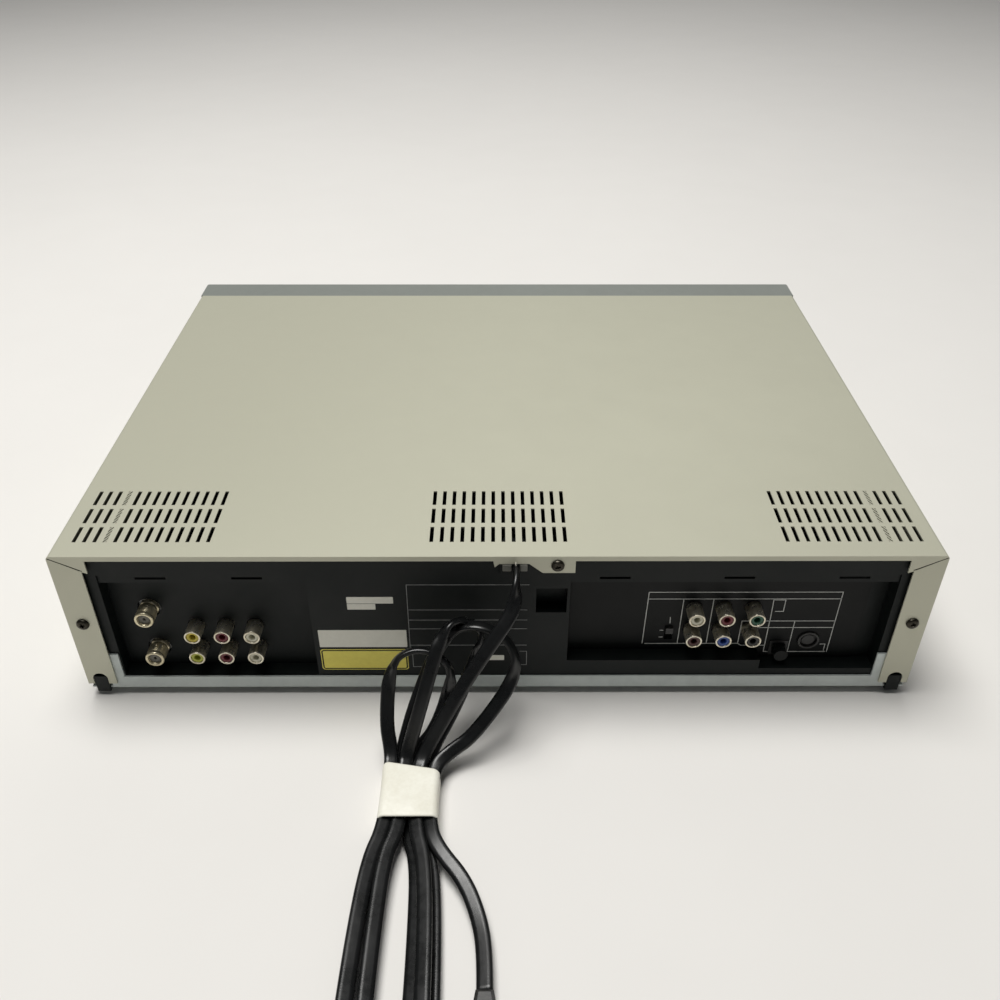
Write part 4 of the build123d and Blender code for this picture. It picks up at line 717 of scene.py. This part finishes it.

# %% [markdown]
# ## Phono jacks
# Each jack is a nickel tube with a rolled rim round a coloured plastic core, and a hole for the
# plug's pin, whose depth is painted shade: a near-black ring sunk in the core. Twelve are alike but
# for the colour of the core, so one tree makes them: it bends a rounded profile round a circle and
# stands a copy on each point.

# %% The tree of rings
ring, ins, outs = growing_tree("rolled_ring", [
    ("Outer Radius", "Float", 0.004), ("Wall", "Float", 0.0009), ("Depth", "Float", 0.01),
    ("Rim", "Float", 0.0003), ("Sides", "Int", 40)])
wall = ins.outputs["Wall"]
half_wall = sum_of(ring, "MULTIPLY", wall, -0.5)
circle = wire(ring, "GeometryNodeCurvePrimitiveCircle", Resolution=ins.outputs["Sides"],
              Radius=sum_of(ring, "ADD", ins.outputs["Outer Radius"], half_wall))
profile = wire(ring, "GeometryNodeCurvePrimitiveQuadrilateral", Width=wall,
               Height=ins.outputs["Depth"])
rounded = ring.nodes.new("GeometryNodeFilletCurve")
rounded.mode = "POLY"
feed_by_name(ring, rounded, Curve=profile.outputs[0], Radius=ins.outputs["Rim"], Count=3)
tube = wire(ring, "GeometryNodeCurveToMesh", Curve=circle.outputs[0],
            Profile_Curve=rounded.outputs[0])
laid = wire(ring, "GeometryNodeTransform", Geometry=tube.outputs[0], Rotation=(pi / 2, 0, 0))
smooth = wire(ring, "GeometryNodeSetShadeSmooth", Geometry=laid.outputs[0])
stand_on_points(ring, ins, outs, Instance=smooth.outputs[0])

# %% Colours of the cores, and where they are
core_colours = {
    "yellow": ((0.62, 0.50, 0.04), (0.52, 0.42, 0.04)),
    "lime": ((0.50, 0.52, 0.06), (0.42, 0.44, 0.05)),
    "red": ((0.17, 0.012, 0.022), (0.12, 0.010, 0.018)),
    "white": ((0.72, 0.70, 0.56), (0.60, 0.57, 0.44)),
    "green": ((0.012, 0.10, 0.055), (0.010, 0.08, 0.045)),
    "blue": ((0.02, 0.07, 0.30), (0.016, 0.055, 0.24)),
    "maroon": ((0.07, 0.014, 0.014), (0.05, 0.011, 0.011)),
    "black": (grey(0.008), grey(0.012)),
}
core_finish = {colour: finish("core_" + colour, *tones, 0.28, 0.4, patches=160.0,
                              dusty=0.04 if colour == "black" else 0.05)
               for colour, tones in core_colours.items()}
# Near-black painted shade for the depth of the jacks' pin holes.
painted_hole_shade = finish("painted_hole_shade", grey(0.003), grey(0.005), 0.5, 0.6, dusty=0.0, shine=0.2)
jack_pitch = 15.1
jack_rows = [(140.1, 40.7, ("yellow", "red", "white")), (140.1, 26.3, ("lime", "red", "white")),
             (-114.8, 51.9, ("white", "red", "green")),
             (-114.8, 37.5, ("maroon", "blue", "black"))]
core_at = {(x + step * jack_pitch, z): colour
           for x, z, colours in jack_rows for step, colour in zip((1, 0, -1), colours)}

# %% The twelve jacks
front_y, plate_y, bay_y, block_y = 160.5, 150.5, 149.5, 147.5


def jack_rings(name, spots, end_y, radius, wall, rim, sides, material, slot):
    """A ring at each spot (x, z) that reaches from the jack's block out to end_y."""
    return grow(name, ring, [(x, (end_y + block_y) / 2, z) for x, z in spots], material, slot,
                Outer_Radius=radius * mm, Wall=wall * mm, Depth=(end_y - block_y) * mm,
                Rim=rim * mm, Sides=sides)


shells = jack_rings("phono_shells", core_at, front_y, 4.15, 0.95, 0.34, 40, jack_nickel,
                    "jack_nickel")
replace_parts(shells, "rca_shells")
for colour in dict.fromkeys(core_at.values()):
    jack_rings("phono_core_" + colour, [spot for spot in core_at if core_at[spot] == colour],
               front_y - 0.5, 3.3, 1.75, 0.55, 36, core_finish[colour], "jack_colour")
# A near-black ring deep in each jack: painted shade of the pin hole.
hole_shade_rings = jack_rings("phono_contacts", core_at, front_y - 3.5, 1.7, 1.5, 0.1, 20, painted_hole_shade,
                   "socket_black")
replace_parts(hole_shade_rings, "rca_inserts")
print("jacks", len(core_at), "colours", len(core_finish))

# %% [markdown]
# ## Aerial sockets
# The two aerial sockets are turned brass with a nickel plate: a hexagon nut, a threaded barrel and
# a rolled mouth round a pale core with a pin hole. A turned part is a profile spun about its axis,
# so one helper spins any list of (distance from the axis, depth) pairs; the thread is a row of
# fine ridges in that list.


# %% Spin a profile
def spin(work, profile, sides, stand, smooth=True):
    """Spin (radius, height) pairs about an axis; stand(u, v, height) is a point in metres."""
    rings = []
    for radius, height in profile:
        corners = range(sides if radius else 1)
        rings.append([work.verts.new(stand(radius * cos(2 * pi * i / sides),
                                           radius * sin(2 * pi * i / sides), height))
                      for i in corners])
    for a, b in zip(rings, rings[1:]):
        for i in range(sides):
            j = (i + 1) % sides
            corners = [a[i % len(a)], a[j % len(a)], b[j % len(b)], b[i % len(b)]]
            corners = list(dict.fromkeys(corners))
            if len(corners) > 2:
                work.faces.new(corners).smooth = smooth


def turned_part(name, profile, sides, material):
    """The profile spun about the axis of each aerial socket, as one piece."""
    work = bmesh.new()
    for x, z in aerials:
        spin(work, profile, sides, lambda u, v, y: metres(x + u, y, z + v))
    return seated(name, mesh_of(work, name), material)


# %% The two aerial sockets
aerials = [(177.2, 25.5), (177.2, 52.5)]
brass_nickel = finish("brass_nickel", (0.74, 0.67, 0.48), (0.50, 0.44, 0.29), 0.24, 0.44, metal=0.8,
                      grains=2600.0, bump=0.05, patches=210.0, dusty=0.06)
core_pale = finish("core_pale", (0.16, 0.15, 0.12), (0.10, 0.095, 0.08), 0.4, 0.5, patches=200.0)
thread_root, thread_crest, thread_pitch = 4.58, 4.84, 0.78
thread = []
ridge_y = plate_y + 2.2
while ridge_y < front_y - 2.4:
    thread += [(thread_root, ridge_y), (thread_crest, ridge_y + 0.25),
               (thread_crest, ridge_y + 0.35), (thread_root, ridge_y + 0.6)]
    ridge_y += thread_pitch
mouth = [(4.6, -1.9), (4.85, -1.7), (4.85, -0.5), (4.5, 0.0), (3.7, 0.0), (3.4, -0.3),
         (3.4, -3.0), (0, -3.0)]
barrel = [(0, block_y), (4.6, block_y), (4.6, plate_y + 2.0), *thread]
barrel += [(radius, front_y + back) for radius, back in mouth]
nut = [(4.0, 0.0), (5.2, 0.0), (5.5, 0.4), (5.5, 2.0), (5.1, 2.35), (4.0, 2.35)]
pin_hole = [(3.35, -2.9), (3.35, -1.5), (3.1, -1.25), (1.2, -1.15), (0.7, -1.3), (0.6, -2.9)]
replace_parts(turned_part("aerial_barrels", barrel, 40, brass_nickel), "rf_connectors")
turned_part("aerial_nuts", [(radius, bay_y + out) for radius, out in nut], 6, brass_nickel)
turned_part("aerial_cores", [(radius, front_y + back) for radius, back in pin_hole], 32, core_pale)

# %% [markdown]
# ## Screws of the cover
# Seven pan-head screws hold the cover: three at the rear, two on each side. One head is cut by a
# cross with a Boolean, and a tree stands it on each point, turned to its face.

# %% One screw head with a cross recess
head_profile = [(0, 0), (3.2, 0), (3.2, 0.55), (3.0, 1.05), (2.5, 1.45), (1.6, 1.72), (0, 1.8)]
work = bmesh.new()
spin(work, head_profile, 28, metres, smooth=False)
head = linked("screw_head", mesh_of(work, "screw_head"))
work = bmesh.new()
blade_size, blade_z, blade_taper = metres(4.2, 1.0, 2.6), 1.75 * mm, 0.35
for turn in (0, pi / 2):
    blade = bmesh.ops.create_cube(work, size=1.0)["verts"]
    bmesh.ops.scale(work, vec=blade_size, verts=blade)
    for corner in blade:
        if corner.co.z < 0:
            corner.co.x *= blade_taper
    bmesh.ops.rotate(work, verts=blade, matrix=Matrix.Rotation(turn, 3, "Z"))
    bmesh.ops.translate(work, vec=(0, 0, blade_z), verts=blade)
cutter = linked("cross_cutter", mesh_of(work, "cross_cutter"))
cut = head.modifiers.new("cross", "BOOLEAN")
cut.operation = "DIFFERENCE"
cut.object = cutter
cut.use_self = True
one_head = linked("one_screw_head", made_plain(head))
bpy.data.objects.remove(cutter)
print("screw head faces", len(one_head.data.polygons))

# %% The tree that stands a head on points, and the seven screws
stand, ins, outs = growing_tree("stand_on_points", [("Piece", "Object"),
                                                    ("Turn", "Vector", (0.0, 0.0, 0.0))])
info = wire(stand, "GeometryNodeObjectInfo", Object=ins.outputs["Piece"])
stand_on_points(stand, ins, outs, Instance=info.outputs["Geometry"],
                Rotation=ins.outputs["Turn"])
rear_screws = grow("rear_screws", stand, [(-207.5, 161, 51), (207.5, 161, 51), (-28.5, 161, 88.6)],
                   screw_steel, "screw_steel", Piece=one_head, Turn=(-pi / 2, 0.3, 0))
for label, side in (("recorder", 1), ("disc", -1)):
    grow(f"{label}_side_screws", stand, [(side * 215, y, 15.5) for y in (-100, 100)], screw_steel,
         "screw_steel", Piece=one_head, Turn=(0, side * pi / 2, 0))
bpy.data.objects.remove(one_head)
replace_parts(rear_screws, "cover_screws")

# %% [markdown]
# ## Print and labels
# The jack plate carries thin white lines that group its jacks, and the panel has four blank white
# plates, a yellow one and ruled lines. The recorder's bay has low frames of the panel's own
# plastic. Each line is a thin ribbon with mitred corners; the plates are thin sheets with rounded
# corners.


# %% Ribbons on the rear
def ribbon(work, points, width, y, proud=0.06):
    """A flat line along points (x, z in mm), standing proud of the plane at y."""
    rings = []
    for i, (x, z) in enumerate(points):
        before = points[max(i - 1, 0)]
        after = points[min(i + 1, len(points) - 1)]
        run_in = Vector((x - before[0], z - before[1]))
        run_out = Vector((after[0] - x, after[1] - z))
        run_in = (run_in if run_in.length else run_out).normalized()
        run_out = (run_out if run_out.length else run_in).normalized()
        square = Vector((-(run_in.y + run_out.y), run_in.x + run_out.x))
        square.normalize()
        reach = width / 2 / max(square.dot(Vector((-run_in.y, run_in.x))), 0.4)
        a = (x + square.x * reach, z + square.y * reach)
        b = (x - square.x * reach, z - square.y * reach)
        rings.append([work.verts.new(metres(u, v, w))
                      for u, v, w in ((a[0], y, a[1]), (a[0], y + proud, a[1]),
                                      (b[0], y + proud, b[1]), (b[0], y, b[1]))])
    for first, second in zip(rings, rings[1:]):
        bridge(work, first, second)
    work.faces.new(rings[0])
    work.faces.new(rings[-1][::-1])


def ruled(name, runs, width, y, material, proud=0.06):
    """Lines of one width as one piece."""
    work = bmesh.new()
    for run in runs:
        ribbon(work, run, width, y, proud)
    return seated(name, mesh_of(work, name), material)


# %% Thin plates on the rear
def rounded_points(x0, x1, z0, z1, radius, steps=5):
    """The outline of a rectangle with rounded corners."""
    points = []
    for cx, cz, a0 in ((x1 - radius, z1 - radius, 0), (x0 + radius, z1 - radius, 90),
                       (x0 + radius, z0 + radius, 180), (x1 - radius, z0 + radius, 270)):
        for i in range(steps + 1):
            a = radians(a0 + 90 * i / steps)
            points.append((cx + radius * cos(a), cz + radius * sin(a)))
    return points


def plates(name, boxes, y, proud, material):
    """Thin sheets (x0, x1, z0, z1, corner radius) on the plane at y, as one piece."""
    work = bmesh.new()
    for box in boxes:
        low, high = ([work.verts.new(metres(x, level, z)) for x, z in rounded_points(*box)]
                     for level in (y, y + proud))
        work.faces.new(low)
        work.faces.new(high[::-1])
        bridge(work, low, high)
    return seated(name, mesh_of(work, name), material)


# %% Lines on the jack plate
print_white = finish("print_white", (0.66, 0.67, 0.64), (0.48, 0.49, 0.47), 0.5, 0.6,
                     patches=300.0, dusty=0.0)
print_grey = finish("print_grey", (0.30, 0.305, 0.30), (0.20, 0.205, 0.20), 0.5, 0.6,
                    patches=300.0, dusty=0.0)
ruled("plate_lines", [
    [(-75.3, 27.0), (-75.9, 62.4), (-173.6, 62.4), (-173.2, 20.8)],
    [(-75.8, 57.9), (-173.6, 57.9)],
    [(-93.9, 57.9), (-93.7, 27.0)], [(-109.1, 57.9), (-108.9, 27.0)],
    [(-139.5, 57.9), (-139.8, 43.2)],
    [(-139.5, 57.2), (-145.6, 57.2), (-145.6, 49.4), (-141.4, 49.4)],
    [(-125.4, 27.0), (-125.5, 42.8), (-173.4, 42.8)],
    [(-125.8, 38.2), (-173.4, 38.2)],
    [(-139.7, 42.8), (-139.8, 21.0)], [(-152.7, 42.8), (-152.5, 21.0)],
    [(-76.5, 27.0), (-125.4, 27.0)], [(-139.8, 21.0), (-172.4, 21.0)],
    [(-125.4, 27.0), (-127.2, 25.6), (-139.8, 25.6)],
    [(-168.6, 26.4), (-171.4, 26.4), (-171.4, 21.6)],
    [(-88.3, 45.6), (-88.5, 41.2)], [(-83.6, 36.4), (-85.6, 36.4)], [(-83.6, 31.6), (-85.6, 31.6)],
], 0.42, plate_y, print_white)

# %% Rules and plates on the panel
panel_face = 158.8
work = bmesh.new()
ribbon(work, [(45.2, 31.5), (45.0, 74.6), (-15.2, 74.6)], 0.32, panel_face)
for run in (*([(45.0, z), (-14.6, z)] for z in (58.2, 51.4, 45.4, 34.0)),
            [(-11.0, 29.6), (-14.6, 29.6), (-14.6, 20.0), (-11.0, 20.0)],
            [(44.2, 28.6), (30.5, 28.6), (30.5, 18.6), (44.2, 18.6), (44.2, 28.6)]):
    ribbon(work, run, 0.3, panel_face)
seated("panel_rules", mesh_of(work, "panel_rules"), print_grey)
paper_white = finish("paper_white", (0.84, 0.83, 0.74), (0.76, 0.75, 0.66), 0.5, 0.62,
                     grains=900.0, bump=0.1, patches=60.0, dusty=0.0)
paper_yellow = finish("paper_yellow", (0.86, 0.76, 0.12), (0.76, 0.66, 0.10), 0.4, 0.52,
                      grains=900.0, bump=0.06, patches=60.0, dusty=0.0)
plates("blank_white_plates",
       [(46.6, 91.4, 32.8, 44.6, 0.4), (52.0, 75.0, 62.6, 66.8, 0.3),
        (61.0, 75.0, 58.6, 62.3, 0.3), (-3.0, 12.5, 23.4, 26.8, 0.3)],
       panel_face, 0.14, paper_white)
plates("yellow_plate_border", [(46.6, 91.6, 16.6, 31.2, 1.6)], panel_face, 0.1, paper_yellow)
inner_edge = rounded_points(47.4, 90.8, 17.4, 30.4, 1.2)
ruled("yellow_plate_ring", [inner_edge + inner_edge[:1]], 0.7, panel_face + 0.1, panel_black,
      0.03)

# %% Raised frames in the recorder's bay
ruled("bay_frames", [[(163.4, 19.4), (163.4, 49.6), (116.8, 49.6), (116.8, 19.4)],
                     [(183.5, 60.0), (168.4, 60.0), (168.4, 47.0), (163.4, 43.0)],
                     [(162.0, 66.0), (133.0, 66.0), (133.0, 61.6), (162.0, 61.6), (162.0, 66.0)]],
      0.6, bay_y, panel_black, 0.4)

# %% Folded corners
# The side's flange and the top's tab meet on a slant; the gap between them is a dark ribbon of
# painted shade on the flange.
painted_gap_shade = finish("painted_gap_shade", grey(0.004), grey(0.008), 0.6, 0.7, dusty=0.0, shine=0.2)
ruled("corner_gaps", [[(side * 214.4, 92.9), (side * 199.6, 85.2)] for side in (-1, 1)], 0.42,
      rear_fold_y, painted_gap_shade, 0.05)

# %% [markdown]
# ## The bushing of the lead
# The lead is gripped by a grey two-part bushing, a block on each side of it; a thin pale strip above
# it, in the tie's cream, is a painted highlight on the lead's upper edge.
# They are small boxes, and every edge is rounded in the mesh before it becomes a piece.


# %% Rounded blocks
def rounded_blocks(name, boxes, radius, material):
    """Boxes (low corner, high corner, in mm) with rounded edges, as one piece."""
    work = bmesh.new()
    for low, high in boxes:
        block = bmesh.ops.create_cube(work, size=1.0)["verts"]
        bmesh.ops.scale(work, vec=metres(*(b - a for a, b in zip(low, high))), verts=block)
        bmesh.ops.translate(work, vec=metres(*((a + b) / 2 for a, b in zip(low, high))),
                            verts=block)
    bmesh.ops.bevel(work, geom=work.edges[:], offset=radius * mm, segments=3, profile=0.5,
                    affect="EDGES")
    return seated(name, mesh_of(work, name), material)


bushing_grey = finish("bushing_grey", (0.17, 0.17, 0.145), (0.12, 0.12, 0.10), 0.4, 0.55,
                      grains=2400.0, bump=0.12, patches=140.0)
rounded_blocks("bushing_blocks", [((-14.0, 158.2, 85.2), (-10.4, 161.6, 89.2)),
                                  ((-6.4, 158.2, 85.2), (-2.0, 161.6, 89.2))], 0.4, bushing_grey)
# Thin cream strip above the lead's exit: painted highlight on the lead's upper edge.
rounded_blocks("bushing_rib", [((-8.7, 160.4, 87.4), (-8.1, 161.8, 90.6))], 0.15, tie_white)

# %% [markdown]
# ## The tie
# A soft cream band holds the hank together. Its mouth is cut in an arc that falls away on one
# side, so the strands there show sooner. Rings of points run out along its outside and back
# along its inside, and the last ring joins the first.

# %% A band with an arched mouth
half_w, half_h, bend_r = 13.9, 6.2, 3.0
band_t, lip, pinch, arch = 0.9, 0.25, 0.02, 5.0
band_outline = rounded_points(tie_x - half_w, tie_x + half_w, middle_z - half_h,
                              middle_z + half_h, bend_r, 6)
stations = [0.0, 0.03, 0.25, 0.5, 0.75, 0.97, 1.0]


def band_point(x, z, t, inset):
    """The outline's point (x, z) at the share t of the band's length, drawn in by an inset."""
    away = (tie_x + half_w - x) / (2 * half_w)
    start = tie_y - 0.4 + arch * away ** 2.2
    waist = 1 - pinch * sin(pi * t)
    return metres(tie_x + (x - tie_x) * (1 - inset / half_w) * waist,
                  start + t * (tie_y + tie_l - start),
                  middle_z + (z - middle_z) * (1 - inset / half_h))


work = bmesh.new()
rings = [[work.verts.new(band_point(x, z, t, lip if t in (0.0, 1.0) else 0.0))
          for x, z in band_outline] for t in stations]
rings += [[work.verts.new(band_point(x, z, t, band_t)) for x, z in band_outline]
          for t in stations[::-1]]
for first, second in zip(rings, rings[1:] + rings[:1]):
    bridge(work, first, second, smooth=True)
band = seated("tie_band", mesh_of(work, "tie_band"), tie_white)
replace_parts(band, "cord_tie")

# %% [markdown]
# ## Floor and light
# The photographer used a light tent: a white floor that runs on behind, and soft light that is
# strongest from above. A pale plane, a soft lamp over the machine, a weak one for the floor beyond
# it and a faint, even sky give the same.

# %% Floor
floor_mesh = bpy.data.meshes.new("floor")
floor_mesh.from_pydata([(-6, -6, 0), (6, -6, 0), (6, 6, 0), (-6, 6, 0)], [], [(0, 1, 2, 3)])
floor = linked("floor", floor_mesh)
floor.data.materials.append(finish("floor_white", (0.77, 0.755, 0.73), (0.75, 0.735, 0.71),
                                   0.85, 0.9, bump=0.0, patches=2.0, dusty=0.0, shine=0.1))


# %% Lamps and sky
def lamp(name, place, target, size, watts):
    """A soft, slightly warm square lamp at a place, turned to its target."""
    data = bpy.data.lights.new(name, "AREA")
    data.shape = "SQUARE"
    data.size = size
    data.energy = watts
    data.color = (1.0, 0.99, 0.965)
    thing = linked(name, data)
    thing.location = place
    thing.rotation_euler = (Vector(target) - Vector(place)).to_track_quat("-Z", "Y").to_euler()


lamp("over_the_machine", (0.34, -0.05, 2.2), (0.1, 0.05, 0.0), 1.2, 55.0)
lamp("behind_the_front", (-0.2, -1.9, 1.6), (0.0, -1.6, 0.0), 1.6, 5.0)
sky = bpy.data.worlds.new("sky")
bpy.context.scene.world = sky
sky.use_nodes = True
feed_by_name(sky.node_tree, sky.node_tree.nodes["Background"], Color=(0.96, 0.98, 1.0, 1),
             Strength=0.10)
bpy.context.scene.view_settings.view_transform = "Standard"
